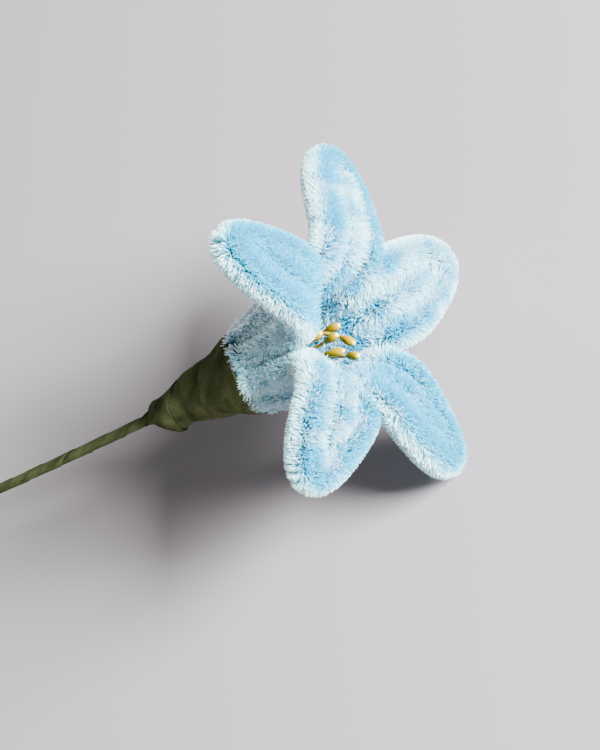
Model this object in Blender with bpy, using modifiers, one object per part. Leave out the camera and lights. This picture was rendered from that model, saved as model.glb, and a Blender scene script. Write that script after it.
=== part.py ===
"""A handmade lily: five chenille petals in a taped calyx, on a taped wire stem that lies on a table.

The bloom is built in its own frame, in millimetres: x runs along the flower's axis out of its mouth, with
x = 0 at the calyx's rim, and a point at azimuth a and radius r has y = r sin(a) and z = r cos(a). An empty
then lays the bloom down. The stem bends gently from the calyx to the table.
"""
import math
import random
from dataclasses import dataclass

import bmesh
import bpy
import numpy as np
from mathutils import Matrix

MM = 0.001

# Driving dimensions of the stem
STEM_LENGTH = 255.0
STEM_WIRE_RADIUS = 0.6
STEM_WIRE_TOP = 1.0
STEM_TAPE_BORE = 0.75
STEM_TAPE_RADIUS = 1.0
STEM_TAPE_TOP = -14.6
STEM_TAPE_LAP = 0.08

# Driving dimensions of the calyx, the cone of tape that binds the petals: height and outer radius
CALYX_PROFILE = (
    (-22.5, 1.5), (-21.3, 2.5), (-18.0, 3.2), (-13.0, 3.9),
    (-10.0, 4.5), (-5.0, 5.5), (0.0, 7.1), (8.0, 9.3),
)
CALYX_WALL = 0.6
CALYX_FLOOR = -13.6
CALYX_NECK_BORE = 1.2
CALYX_NECK_TOP = -19.5
CALYX_TURNS = 24
RIM_LIFT = 5.0
RIM_LIFT_AZIMUTH = math.radians(-30)
RIM_LIFT_SHARPNESS = 1.5
RIM_LIFT_FOOT = -11.0
KNUCKLE = 1.0
KNUCKLE_HEIGHT = -18.0
KNUCKLE_LENGTH = 2.5
KNUCKLE_AZIMUTH = math.radians(234)
LAP_PITCH = 6.5
LAP_STEP = 0.25

# Driving dimensions of the chenille: wire, the channel that it lies in, and the clearance between pieces
CORE_RADIUS = 0.28
CHANNEL_RADIUS = 0.42
GAP = 0.2
PILE_RADIUS = 2.85
PILE_RADIUS_BELL = 2.0
PILE_RADIUS_RIM = 1.5
TUFT = 0.06
RING_RADIUS = 4.85
TAIL_END = -12.5
FILLER_RADIUS_RIM = 2.4
FILLER_TAIL_END = -4.0
FILLER_TAIL_RADIUS = 2.1
FILLER_RISE = 0.7
SIDE_SHARE = 0.58
FILLER_SHARE = 0.42
RIM_CLEARANCE = 1.5
THREADS_CLEAR_BELOW = 4.0

# Driving dimensions that all petals share. A span is where a change starts and ends, measured from the rim
BELL_ANGLE = 13.0
BELL_SPAN = (5.0, 10.0)
BEND_LENGTH = 11.0
TURN_SPAN = (12.0, 27.0)
LEAN_START = 18.0
SPREAD = 18.0
SPREAD_GAIN = 4.0
SPREAD_SPAN = (0.0, 10.0)
BLADE_SPAN = (12.0, 30.0)
THROAT_WIDENING = 0.4
THROAT_OPENS = (16.0, 24.0)
THROAT_CLOSES = (26.0, 36.0)
SIDE_FOLD = 0.6
SIDE_FOLD_SPAN = (14.0, 28.0)
FILLER_JOINS = 9.0
FILLER_SHORT = 0.5
SWELL_SPAN = (0.0, 10.0)
OPEN_SPAN = (14.0, 25.0)
TIP_STOP = 0.8
TIP_JOINS = 0.25

# How the bloom lies
TILT = math.radians(8)
ROLL = math.radians(-2.95)


@dataclass
class Petal:
    """One folded stem of chenille. Angles are in degrees, lengths in millimetres."""
    number: int
    turn: float
    lean: float
    base: float
    flare: float
    bend_at: float
    length: float
    half_width: float
    tip: float

    @property
    def azimuth(self):
        return 72.0 * (self.number - 1)


PETALS = (
    Petal(1, turn=5, lean=1, base=14, flare=96, bend_at=25.0, length=40.2, half_width=4.3, tip=14.5),
    Petal(2, turn=12, lean=4.5, base=20, flare=106, bend_at=25.5, length=45.1, half_width=4.5, tip=11.5),
    Petal(3, turn=-3, lean=-4.4, base=22, flare=81, bend_at=24.5, length=39.4, half_width=5.6, tip=15.5),
    Petal(4, turn=2, lean=1, base=18, flare=90, bend_at=24.5, length=40.1, half_width=4.2, tip=11.0),
    Petal(5, turn=-17, lean=5, base=15, flare=113, bend_at=22.5, length=37.3, half_width=5.7, tip=17.0),
)


@dataclass
class Stamen:
    """One end of a doubled thread: its foot in the calyx, its head's tip, and how the head leans."""
    foot_azimuth: float
    azimuth: float
    radius: float
    height: float
    lean: float
    lean_azimuth: float


# The threads are doubled, so the stamens come in pairs
STAMEN_PAIRS = (
    (Stamen(60, 280, 1.2, 21.5, 14, 339), Stamen(120, 138, 4.5, 18.8, 7, 305)),
    (Stamen(180, 226, 3.3, 22.9, 37, 266), Stamen(240, 231, 5.3, 22.8, 25, 294)),
    (Stamen(300, 273, 4.7, 23.0, 12, 229), Stamen(360, 346, 1.4, 19.1, 9, 13)),
)
THREAD_RADIUS = 0.2
THREAD_RING = 0.95
THREAD_FOLD = -6.0
THREAD_FREE = 2.0
THREAD_FOLD_DEPTH = 0.45
HEAD_LENGTH = 4.0
HEAD_RADIUS = 0.75
HEAD_TAPER = 0.25
HEAD_SEAT = 0.15

SKY_BLUE = "#9CCBE8"
BLUE_SHADE = "#7FAFD0"
STEEL = "#8C9094"
TAPE_GREEN = "#4B5231"
THREAD_CREAM = "#D9B84A"
HEAD_YELLOW = "#F5B90A"


# Small helpers
def smooth(x, start, end):
    """0 before start, 1 after end, and an eased step between them."""
    t = np.clip((np.asarray(x, float) - start) / (end - start), 0, 1)
    return t * t * (3 - 2 * t)


def polar(height, radius, azimuth):
    """Points of the bloom's frame, from heights, radii and azimuths in radians."""
    height, radius, azimuth = np.broadcast_arrays(height, radius, azimuth)
    return np.stack([height, radius * np.sin(azimuth), radius * np.cos(azimuth)], -1).astype(float)


def linear(code):
    """An sRGB hex colour as linear RGBA."""
    channels = [int(code[i:i + 2], 16) / 255 for i in (1, 3, 5)]
    return [c / 12.92 if c <= 0.04045 else ((c + 0.055) / 1.055) ** 2.4 for c in channels] + [1.0]


def material(name, code, roughness, metallic=0.0):
    """A plain Principled material, made once for each name."""
    found = bpy.data.materials.get(name)
    if found:
        return found
    made = bpy.data.materials.new(name)
    made.use_nodes = True
    shader = made.node_tree.nodes["Principled BSDF"]
    shader.inputs["Base Color"].default_value = linear(code)
    shader.inputs["Roughness"].default_value = roughness
    shader.inputs["Metallic"].default_value = metallic
    made.diffuse_color = linear(code)
    return made


def collection(name):
    """A new collection in the scene."""
    made = bpy.data.collections.new(name)
    bpy.context.scene.collection.children.link(made)
    return made


def as_mesh(source, name):
    """A mesh object made from what source evaluates to. The source is removed."""
    bpy.context.view_layer.update()
    graph = bpy.context.evaluated_depsgraph_get()
    mesh = bpy.data.meshes.new_from_object(source.evaluated_get(graph))
    home = source.users_collection[0]
    place = source.matrix_world.copy()
    bpy.data.objects.remove(source)
    mesh.name = name
    made = bpy.data.objects.new(name, mesh)
    made.matrix_world = place
    home.objects.link(made)
    shape = bmesh.new()
    shape.from_mesh(mesh)
    bmesh.ops.remove_doubles(shape, verts=shape.verts, dist=1e-6)
    bmesh.ops.recalc_face_normals(shape, faces=shape.faces)
    shape.to_mesh(mesh)
    shape.free()
    return made


def tube(name, points, radii, home, resolution=2):
    """A round closed tube along points, with a radius for each point."""
    curve = bpy.data.curves.new(name, "CURVE")
    curve.dimensions = "3D"
    curve.bevel_depth = MM
    curve.bevel_resolution = resolution
    curve.use_fill_caps = True
    spline = curve.splines.new("POLY")
    spline.points.add(len(points) - 1)
    radii = np.broadcast_to(radii, len(points))
    for knot, place, radius in zip(spline.points, points, radii):
        knot.co = (*(float(value) * MM for value in place), 1.0)
        knot.radius = float(radius)
    made = bpy.data.objects.new(name, curve)
    home.objects.link(made)
    return as_mesh(made, name)


def combine(base, other, operation):
    """base joined with other, or cut by it. other is removed."""
    name = base.name
    modifier = base.modifiers.new(operation.title(), "BOOLEAN")
    modifier.operation = operation
    modifier.object = other
    modifier.solver = "EXACT"
    made = as_mesh(base, "combined")
    bpy.data.objects.remove(other)
    made.name = name
    made.data.name = name
    return made


def finish(piece, look, parent=None):
    """Gives a piece its material, shading and parent."""
    piece.data.materials.clear()
    piece.data.materials.append(look)
    piece.data.shade_smooth()
    piece.data.set_sharp_from_angle(angle=math.radians(50))
    piece.parent = parent
    return piece


def resample(points, count):
    """The same path with count points, evenly spaced along it."""
    steps = np.linalg.norm(np.diff(points, axis=0), axis=1)
    along = np.concatenate([[0], np.cumsum(steps)])
    wanted = np.linspace(0, along[-1], count)
    return np.stack([np.interp(wanted, along, points[:, axis]) for axis in range(3)], 1)


# The calyx's form
def calyx_outer(height):
    """The cone's outer radius at a height."""
    heights, radii = zip(*CALYX_PROFILE)
    return np.interp(height, heights, radii)


def calyx_inner(height):
    """The inner radius of the part of the cone that holds the petals."""
    return calyx_outer(height) - CALYX_WALL


def rim_lift(azimuth):
    """How far the rim stands above x = 0: the last turn of tape climbs on one side."""
    return RIM_LIFT * ((1 + np.cos(azimuth - RIM_LIFT_AZIMUTH)) / 2) ** RIM_LIFT_SHARPNESS


# The petals' centre lines
def bell_line(petal, distance):
    """Height, radius, azimuth and slope of a petal's middle line at distances from the rim."""
    fine = np.linspace(0, petal.length, 400)
    bend_start = petal.bend_at - BEND_LENGTH / 2
    slope = petal.base + (BELL_ANGLE - petal.base) * smooth(fine, *BELL_SPAN)
    slope = slope + (petal.flare - BELL_ANGLE) * smooth(fine, bend_start, bend_start + BEND_LENGTH)
    slope = np.radians(slope)
    middle = (slope[1:] + slope[:-1]) / 2
    step = fine[1]
    height = np.concatenate([[0], np.cumsum(np.cos(middle) * step)])
    radius = RING_RADIUS + np.concatenate([[0], np.cumsum(np.sin(middle) * step)])
    lean = petal.lean * smooth(fine, LEAN_START, petal.length)
    turn = petal.azimuth + petal.turn * smooth(fine, *TURN_SPAN) + lean
    values = (height, radius, np.radians(turn), slope)
    return [np.interp(distance, fine, value) for value in values]


def half_width(petal, distance, radius):
    """How far each side strand lies from the petal's middle line."""
    end = np.clip((distance - petal.length + petal.tip) / petal.tip, 0, 1)
    spread = np.radians(SPREAD + SPREAD_GAIN * smooth(distance, *SPREAD_SPAN))
    grown = smooth(distance, *BLADE_SPAN)
    throat = THROAT_WIDENING * smooth(distance, *THROAT_OPENS) * (1 - smooth(distance, *THROAT_CLOSES))
    width = radius * np.sin(spread) * (1 - grown) + petal.half_width * grown + throat
    return width * np.sqrt(1 - end ** 2)


def off_surface(line, rise, turn):
    """Points that stand off the bell's surface by rise, to its inner side, and turned aside."""
    height, radius, azimuth, slope = line
    return polar(height + np.sin(slope) * rise, radius - np.cos(slope) * rise, azimuth + turn)


def side_strand(petal, side, distance):
    """A side strand's centre line above the rim."""
    line = bell_line(petal, distance)
    turn = side * half_width(petal, distance, line[1]) / line[1]
    rise = SIDE_FOLD * smooth(distance, *SIDE_FOLD_SPAN)
    return off_surface(line, rise, turn)


def side_tail(petal, side, heights):
    """A side strand's centre line in the calyx, where ten strands stand in one ring."""
    half_step = math.radians(SPREAD)
    radius = (calyx_inner(heights) - GAP) / (1 + math.sin(half_step))
    scale = RING_RADIUS / ((calyx_inner(0.0) - GAP) / (1 + math.sin(half_step)))
    return polar(heights, radius * scale, math.radians(petal.azimuth) + side * half_step)


def filler_strand(petal, distance):
    """The middle strand's centre line above the rim: it leaves the middle and joins the petal."""
    line = bell_line(petal, distance)
    inset = RING_RADIUS - FILLER_RADIUS_RIM - FILLER_RISE
    rise = FILLER_RISE + inset * (1 - smooth(distance, 0, FILLER_JOINS))
    return off_surface(line, rise, 0.0)


def filler_tail(petal, heights):
    """The middle strand's centre line in the calyx."""
    radius = np.interp(heights, (FILLER_TAIL_END, 0.0), (FILLER_TAIL_RADIUS, FILLER_RADIUS_RIM))
    return polar(heights, radius, math.radians(petal.azimuth))


def free_radius(distance):
    """How far the pile spreads where nothing presses on it."""
    swell = PILE_RADIUS_RIM + (PILE_RADIUS_BELL - PILE_RADIUS_RIM) * smooth(distance, *SWELL_SPAN)
    return swell + (PILE_RADIUS - PILE_RADIUS_BELL) * smooth(distance, *OPEN_SPAN)


@dataclass
class Strand:
    """A length of chenille. side is -1 or 1, or 0 for a filler, and share is the room it gets."""
    petal: Petal
    side: int
    points: np.ndarray
    distance: np.ndarray
    share: float
    radii: np.ndarray = None

    def dense(self):
        """The centre line with a point about every half millimetre."""
        return resample(self.points, 120)


def make_strands():
    """Two side strands and one filler for each petal."""
    strands = []
    tail = np.linspace(TAIL_END, -2.5, 4)
    short_tail = np.linspace(FILLER_TAIL_END, -1.5, 2)
    for petal in PETALS:
        stop = petal.length - TIP_STOP
        free = np.concatenate([np.linspace(0, 16, 6)[:-1], np.linspace(16, stop, 12)])
        for side in (-1, 1):
            points = np.concatenate([side_tail(petal, side, tail), side_strand(petal, side, free)])
            strands.append(Strand(petal, side, points, np.concatenate([tail, free]), SIDE_SHARE))
        filler_stop = petal.length - FILLER_SHORT * petal.tip
        free = np.concatenate([np.linspace(0, 16, 7)[:-1], np.linspace(16, filler_stop, 8)])
        points = np.concatenate([filler_tail(petal, short_tail), filler_strand(petal, free)])
        strands.append(Strand(petal, 0, points, np.concatenate([short_tail, free]), FILLER_SHARE))
    return strands


def nearest(points, line):
    """Each point's distance to the nearest point of a line."""
    return np.linalg.norm(points[:, None] - line[None], axis=2).min(1)


def fit_radii(strands):
    """Gives each strand the radius that its neighbours, the tape and the threads leave it."""
    rng = random.Random(7)
    lines = [strand.dense() for strand in strands]
    for strand in strands:
        radii = free_radius(strand.distance)
        for other, line in zip(strands, lines):
            if other is strand:
                continue
            part = strand.share / (strand.share + other.share)
            room = part * (nearest(strand.points, line) - GAP)
            if other.petal is strand.petal and strand.side and other.side:
                room[strand.distance > strand.petal.length - TIP_JOINS * strand.petal.tip] = PILE_RADIUS
            radii = np.minimum(radii, room)
        height = strand.points[:, 0]
        out = np.hypot(strand.points[:, 1], strand.points[:, 2])
        azimuth = np.arctan2(strand.points[:, 1], strand.points[:, 2])
        in_tape = height < rim_lift(azimuth) + RIM_CLEARANCE
        radii = np.where(in_tape, np.minimum(radii, calyx_inner(height) - out - GAP), radii)
        in_threads = height < THREADS_CLEAR_BELOW
        threads = THREAD_RING + THREAD_RADIUS
        radii = np.where(in_threads, np.minimum(radii, out - threads - GAP), radii)
        strand.radii = radii * np.array([1 - TUFT * rng.random() for _ in radii])


def domed(strand):
    """The strand's points and radii with a round end."""
    ahead = strand.points[-1] - strand.points[-2]
    ahead /= np.linalg.norm(ahead)
    last = strand.radii[-1]
    points = [strand.points]
    radii = [strand.radii]
    for angle in (35, 62, 80):
        points.append((strand.points[-1] + ahead * last * math.sin(math.radians(angle)))[None])
        radii.append([last * math.cos(math.radians(angle))])
    return np.concatenate(points), np.concatenate(radii)


def petal_loop_wire(left, right):
    """The wire's path through both side strands, round the petal's tip."""
    petal = left.petal
    lead = np.array([[-0.4, 0, 0]])
    free = petal.length - petal.tip * (1 - np.sin(np.linspace(0, math.pi / 2, 10)))
    ends = []
    for strand in (left, right):
        before = strand.points[strand.distance < free[0] - 0.5]
        ends.append(np.concatenate([before[:1] + lead, before, side_strand(petal, strand.side, free)]))
    return resample(np.concatenate([ends[0], ends[1][::-1][1:]]), 30)


# The pieces of the bloom
def make_petals(home, bloom):
    """Each petal: a folded stem of chenille with its wire, and a filler strand with its own."""
    pile_look = material("sky blue chenille pile", SKY_BLUE, 0.95)
    filler_look = material("shaded chenille pile", BLUE_SHADE, 0.95)
    wire_look = material("chenille core wire", STEEL, 0.4, 0.9)
    strands = make_strands()
    fit_radii(strands)
    for left, right, filler in zip(strands[0::3], strands[1::3], strands[2::3]):
        name = f"petal_{left.petal.number}"
        path = petal_loop_wire(left, right)
        pile = combine(tube(name + "_pile", *domed(left), home), tube("leg", *domed(right), home), "UNION")
        pile = combine(pile, tube("channel", path, CHANNEL_RADIUS, home, 1), "DIFFERENCE")
        finish(pile, pile_look, bloom)
        finish(tube(name + "_wire", path[1:-1], CORE_RADIUS, home, 1), wire_look, bloom)
        start = filler.points[:1] + (filler.points[0] - filler.points[1]) * 0.2
        inner = resample(np.concatenate([start, filler.points]), 14)
        middle = combine(tube(name + "_filler_pile", *domed(filler), home),
                         tube("channel", inner, CHANNEL_RADIUS, home, 1), "DIFFERENCE")
        finish(middle, filler_look, bloom)
        core = np.concatenate([inner[:-1], inner[-2:-1] + (inner[-1:] - inner[-2:-1]) * 0.9])
        finish(tube(name + "_filler_wire", core, CORE_RADIUS, home, 1), wire_look, bloom)


def make_calyx(home, bloom):
    """The cone of floral tape: a turned shell whose rim climbs on one side, with the tape's laps."""
    neck = [height for height, _ in CALYX_PROFILE[:2]] + [CALYX_NECK_TOP]
    cone = np.linspace(KNUCKLE_HEIGHT, 0, 10)
    outer = [(height, float(calyx_outer(height))) for height in (*neck, *cone)]
    inner = [(height, float(calyx_inner(height))) for height in (0, -4, -8, CALYX_FLOOR)]
    inner += [(CALYX_FLOOR - 0.4, CALYX_NECK_BORE), (neck[0], CALYX_NECK_BORE)]
    profile = [(height * MM, 0, radius * MM) for height, radius in outer + inner]
    edges = [(i, (i + 1) % len(profile)) for i in range(len(profile))]
    mesh = bpy.data.meshes.new("calyx_tape")
    mesh.from_pydata(profile, edges, [])
    piece = bpy.data.objects.new("calyx_tape", mesh)
    home.objects.link(piece)
    screw = piece.modifiers.new("Turn", "SCREW")
    screw.axis = "X"
    screw.steps = screw.render_steps = CALYX_TURNS
    screw.use_merge_vertices = True
    screw.merge_threshold = 1e-6
    piece = as_mesh(piece, "calyx_tape")
    for vertex in piece.data.vertices:
        height, y, z = (value / MM for value in vertex.co)
        radius = math.hypot(y, z)
        azimuth = math.atan2(y, z)
        lifted = height + float(rim_lift(azimuth)) * float(smooth(height, RIM_LIFT_FOOT, 0))
        is_outer = radius > calyx_outer(height) - 0.5 * CALYX_WALL and height < 0.1
        if height > CALYX_FLOOR - 0.1:
            radius += float(calyx_outer(lifted) - calyx_outer(height))
        if is_outer and radius > 2:
            lap = (height / LAP_PITCH + azimuth / math.tau) % 1.0
            near = math.exp(-((height - KNUCKLE_HEIGHT) / KNUCKLE_LENGTH) ** 2)
            side = max(0.0, math.cos(azimuth - KNUCKLE_AZIMUTH)) ** 2
            radius += LAP_STEP * lap + KNUCKLE * near * side
        vertex.co = (lifted * MM, radius * math.sin(azimuth) * MM, radius * math.cos(azimuth) * MM)
    finish(piece, material("floral tape", TAPE_GREEN, 0.75), bloom)


def head_ends(stamen):
    """The base and tip of a stamen's head."""
    lean = math.radians(stamen.lean)
    along = polar(math.cos(lean), math.sin(lean), math.radians(stamen.lean_azimuth))
    tip = polar(stamen.height, stamen.radius, math.radians(stamen.azimuth))
    return tip - along * HEAD_LENGTH, tip


def thread_path(stamen):
    """From the fold in the calyx up to the head's base."""
    azimuth = math.radians(stamen.foot_azimuth)
    foot = polar(THREAD_FOLD, THREAD_RING, azimuth)
    free = polar(THREAD_FREE, THREAD_RING, azimuth)
    base, tip = head_ends(stamen)
    ahead = (tip - base) / np.linalg.norm(tip - base)
    end = base - ahead * HEAD_SEAT
    reach = (end[0] - free[0]) / 2.2
    pull = free + np.array([reach, 0, 0])
    push = end - ahead * reach
    t = np.linspace(0, 1, 9)[:, None]
    curve = (1 - t) ** 3 * free + 3 * (1 - t) ** 2 * t * pull + 3 * (1 - t) * t ** 2 * push + t ** 3 * end
    return np.concatenate([foot[None], (foot[None] + free[None]) / 2, curve])


def make_stamens(home, bloom):
    """Three doubled threads with a glossy head on each end."""
    thread_look = material("stamen thread", THREAD_CREAM, 0.7)
    head_look = material("stamen head", HEAD_YELLOW, 0.3)
    for number, pair in enumerate(STAMEN_PAIRS, start=1):
        legs = [thread_path(stamen) for stamen in pair]
        middle = math.radians((pair[0].foot_azimuth + pair[1].foot_azimuth) / 2)
        fold = polar(THREAD_FOLD - THREAD_FOLD_DEPTH, THREAD_RING * 1.03, middle)[None]
        path = np.concatenate([legs[0][::-1], fold, legs[1]])
        finish(tube(f"stamen_thread_{number}", path, THREAD_RADIUS, home, 1), thread_look, bloom)
        for end, stamen in enumerate(pair, start=1):
            make_head(f"stamen_head_{2 * number - 2 + end}", stamen, home, head_look, bloom)


def make_head(name, stamen, home, look, bloom):
    """A head: a ball drawn out to a slim drop, thicker towards its tip."""
    shape = bmesh.new()
    bmesh.ops.create_uvsphere(shape, u_segments=10, v_segments=8, radius=1.0)
    for vertex in shape.verts:
        taper = (1 + HEAD_TAPER * vertex.co.z) / 1.1
        vertex.co.x *= HEAD_RADIUS * taper
        vertex.co.y *= HEAD_RADIUS * taper
        vertex.co.z *= HEAD_LENGTH / 2
    bmesh.ops.scale(shape, vec=(MM, MM, MM), verts=shape.verts)
    mesh = bpy.data.meshes.new(name)
    shape.to_mesh(mesh)
    shape.free()
    base, tip = head_ends(stamen)
    along = (tip - base) / np.linalg.norm(tip - base)
    side = np.cross(along, (0.0, 1.0, 0.0))
    side /= np.linalg.norm(side)
    across = np.cross(along, side)
    middle = (base + tip) / 2 * MM
    rows = [[*row, shift] for row, shift in zip(np.stack([side, across, along], 1), middle)]
    mesh.transform(Matrix(rows + [[0, 0, 0, 1]]))
    piece = bpy.data.objects.new(name, mesh)
    home.objects.link(piece)
    finish(piece, look, bloom)


# The stem, in the frame of the table
def stem_path(rim_height, top, count):
    """From a point in the calyx down the flower's axis, round a long bend, and along the table."""
    neck = CALYX_PROFILE[0][0]
    along = np.array([math.cos(TILT), 0, math.sin(TILT)])
    rim = np.array([0, 0, rim_height])
    neck_point = rim + along * neck
    drop = neck_point[2] - STEM_TAPE_RADIUS
    bend_radius = drop / (1 - math.cos(TILT))
    bend_length = bend_radius * TILT
    centre = neck_point + bend_radius * np.array([-math.sin(TILT), 0, math.cos(TILT)])
    points = []
    for distance in np.linspace(neck - top, STEM_LENGTH, count):
        if distance < 0:
            point = neck_point - along * distance
        elif distance < bend_length:
            angle = TILT - distance / bend_radius
            point = centre + bend_radius * np.array([math.sin(angle), 0, -math.cos(angle)])
        else:
            point = np.array([centre[0] - (distance - bend_length), 0, STEM_TAPE_RADIUS])
        points.append(point)
    return np.array(points)


def make_stem(home, root, rim_height):
    """The wire, and the tape wound round it: each turn laps over the one before."""
    wire = tube("stem_wire", stem_path(rim_height, STEM_WIRE_TOP, 34), STEM_WIRE_RADIUS, home, 1)
    finish(wire, material("stem wire", STEEL, 0.4, 0.9), root)
    path = stem_path(rim_height, STEM_TAPE_TOP, 56)
    laps = np.arange(len(path)) % 2
    radii = STEM_TAPE_RADIUS - STEM_TAPE_LAP * laps
    tape = tube("stem_tape", path, radii, home)
    bore = stem_path(rim_height, STEM_TAPE_TOP, 34)
    ends = np.concatenate([bore[:1] * 2 - bore[1:2], bore, bore[-1:] * 2 - bore[-2:-1]])
    tape = combine(tape, tube("bore", ends, STEM_TAPE_BORE, home, 1), "DIFFERENCE")
    finish(tape, material("floral tape", TAPE_GREEN, 0.75), root)


def corners(home):
    """The lowest and highest corner of all pieces, in the scene's units."""
    bpy.context.view_layer.update()
    places = []
    for piece in home.objects:
        if piece.type != "MESH":
            continue
        flat = np.empty(len(piece.data.vertices) * 3)
        piece.data.vertices.foreach_get("co", flat)
        world = np.array(piece.matrix_world)
        places.append(flat.reshape(-1, 3) @ world[:3, :3].T + world[:3, 3])
    places = np.concatenate(places)
    return places.min(0), places.max(0)


def main():
    for old in list(bpy.data.objects):
        bpy.data.objects.remove(old)
    home = collection("Lily stem")
    root = bpy.data.objects.new("lily", None)
    bloom = bpy.data.objects.new("bloom axis", None)
    for empty in (root, bloom):
        home.objects.link(empty)
    bloom.parent = root
    bloom.matrix_basis = Matrix.Rotation(-TILT, 4, "Y") @ Matrix.Rotation(ROLL, 4, "X")
    make_petals(home, bloom)
    make_calyx(home, bloom)
    make_stamens(home, bloom)
    lowest = corners(home)[0][2]
    bloom.location.z = -lowest
    make_stem(home, root, -lowest / MM)
    low, high = corners(home)
    root.location = (-(low[0] + high[0]) / 2, -(low[1] + high[1]) / 2, -low[2])
    bpy.context.view_layer.update()


main()
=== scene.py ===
# %% [markdown]
# A lily made by hand, from chenille, tape and wire.
# Five petals are folded from light blue chenille stems, bound into a cone of olive floral tape on a taped
# wire, with yellow lacquered stamens in the throat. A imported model, the frame, already holds every piece at
# its real size. This lesson gives each piece its finish: fibres, crepe paper, thread and lacquer.

import math
from dataclasses import dataclass

import bmesh
import bpy
import numpy as np
from mathutils import Matrix, Vector, noise


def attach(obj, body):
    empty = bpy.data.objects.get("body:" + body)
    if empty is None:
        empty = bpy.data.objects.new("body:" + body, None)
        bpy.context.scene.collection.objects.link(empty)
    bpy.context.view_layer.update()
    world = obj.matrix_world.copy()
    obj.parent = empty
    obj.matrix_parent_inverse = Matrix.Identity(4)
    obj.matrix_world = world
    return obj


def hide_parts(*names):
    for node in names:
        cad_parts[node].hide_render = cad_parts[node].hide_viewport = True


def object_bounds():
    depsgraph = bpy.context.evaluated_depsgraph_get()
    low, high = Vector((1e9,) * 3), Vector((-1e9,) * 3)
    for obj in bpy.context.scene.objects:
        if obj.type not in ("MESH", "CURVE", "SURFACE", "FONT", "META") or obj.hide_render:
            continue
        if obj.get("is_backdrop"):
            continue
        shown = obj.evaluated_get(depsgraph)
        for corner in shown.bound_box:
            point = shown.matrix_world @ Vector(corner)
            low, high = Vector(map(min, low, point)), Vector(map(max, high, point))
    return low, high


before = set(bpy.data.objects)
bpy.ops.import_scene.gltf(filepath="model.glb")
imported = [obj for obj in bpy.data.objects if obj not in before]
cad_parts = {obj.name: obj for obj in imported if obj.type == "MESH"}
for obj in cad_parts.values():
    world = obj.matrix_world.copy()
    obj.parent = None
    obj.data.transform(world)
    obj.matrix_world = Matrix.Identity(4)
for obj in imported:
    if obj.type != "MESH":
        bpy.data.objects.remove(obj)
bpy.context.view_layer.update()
print("nodes in the frame:", len(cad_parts))

# %% [markdown]
# Units and formulas come first. The frame is in metres, but a flower is easier to think about in
# millimetres, so sizes are written in millimetres and turned to metres where Blender needs them.
# An eased step is used wherever one value passes into another, because nothing on a soft flower has a kink.

# %% Units and formulas
MM = 0.001


def smooth(x, start, end):
    """0 before start, 1 after end, and an eased step between them."""
    t = np.clip((np.asarray(x, float) - start) / (end - start), 0, 1)
    return t * t * (3 - 2 * t)


def polar(height, radius, azimuth):
    """Points of the bloom's frame, from heights, radii and azimuths in radians."""
    height, radius, azimuth = np.broadcast_arrays(height, radius, azimuth)
    return np.stack([height, radius * np.sin(azimuth), radius * np.cos(azimuth)], -1).astype(float)


print("an eased step at a quarter:", float(smooth(0.25, 0, 1)))

# %% [markdown]
# The bloom has a frame of its own: x runs out of the flower's mouth, and x = 0 is the calyx's rim.
# The whole bloom is tilted and rolled as it lies on the table. Rather than copying its place as numbers,
# it is measured: the stem's wire ends in a flat cap just above the rim, on the flower's axis.

# %% The bloom's place
TILT = math.radians(8)
ROLL = math.radians(-2.95)
WIRE_TOP = 1.0
CAP_DEPTH = 0.01

axis = np.array([math.cos(TILT), 0, math.sin(TILT)])
wire = np.array([vertex.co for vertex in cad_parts["stem_wire"].data.vertices])
reach = wire @ axis
cap = wire[reach > reach.max() - CAP_DEPTH * MM]
rim_centre = (cap.min(0) + cap.max(0)) / 2 - axis * WIRE_TOP * MM
bloom = Matrix.Translation(rim_centre) @ Matrix.Rotation(-TILT, 4, "Y") @ Matrix.Rotation(ROLL, 4, "X")


def in_world(points):
    """Points of the bloom's frame, in millimetres, as points of the scene, in metres."""
    matrix = np.array(bloom)
    return np.asarray(points) * MM @ matrix[:3, :3].T + matrix[:3, 3]


print("the rim's centre, mm:", np.round(rim_centre / MM, 2))

# %% [markdown]
# Node trees are long to write, so one small function adds a node, sets it and links it.
# Its inputs are given in order, or by name or number where some are passed over. Each may be a plain value,
# another node's output, or a node, which then stands for its first output. A Map Range node's inputs are,
# in order, the value, the two ends of the range that it comes from, and the two that it goes to.
# Colours are written as the hex codes that a paint program shows, and one function turns them to the linear
# values that the renderer works in.

# %% Helpers for node trees
MATH, VECTOR_MATH, MAP_RANGE = "ShaderNodeMath", "ShaderNodeVectorMath", "ShaderNodeMapRange"
NOISE, SPLIT, JOIN = "ShaderNodeTexNoise", "ShaderNodeSeparateXYZ", "ShaderNodeCombineXYZ"
STORE, RECALL = "GeometryNodeStoreNamedAttribute", "GeometryNodeInputNamedAttribute"


def live(sockets, key):
    """The socket with this name or number, past those that the node's settings switch off."""
    if isinstance(key, int):
        return sockets[key]
    return next(socket for socket in sockets if socket.name == key and socket.enabled)


def set_inputs(tree, node, inputs):
    """Sets or links some inputs of a node."""
    for key, value in inputs.items():
        if isinstance(value, bpy.types.Node):
            value = next(socket for socket in value.outputs if socket.enabled)
        if isinstance(value, bpy.types.NodeSocket):
            tree.links.new(value, live(node.inputs, key))
        else:
            live(node.inputs, key).default_value = value


def add(tree, kind, inputs=(), **settings):
    """Adds a node with its settings, and its inputs as values or links."""
    node = tree.nodes.new(kind)
    for name, value in settings.items():
        setattr(node, name, value)
    set_inputs(tree, node, inputs if isinstance(inputs, dict) else dict(enumerate(inputs)))
    return node


def colour(code):
    """An sRGB hex colour as linear RGBA."""
    channels = [int(code[i:i + 2], 16) / 255 for i in (1, 3, 5)]
    return [c / 12.92 if c <= 0.04045 else ((c + 0.055) / 1.055) ** 2.4 for c in channels] + [1.0]


print("sky blue in linear light:", [round(c, 3) for c in colour("#9CCBE8")])

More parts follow.
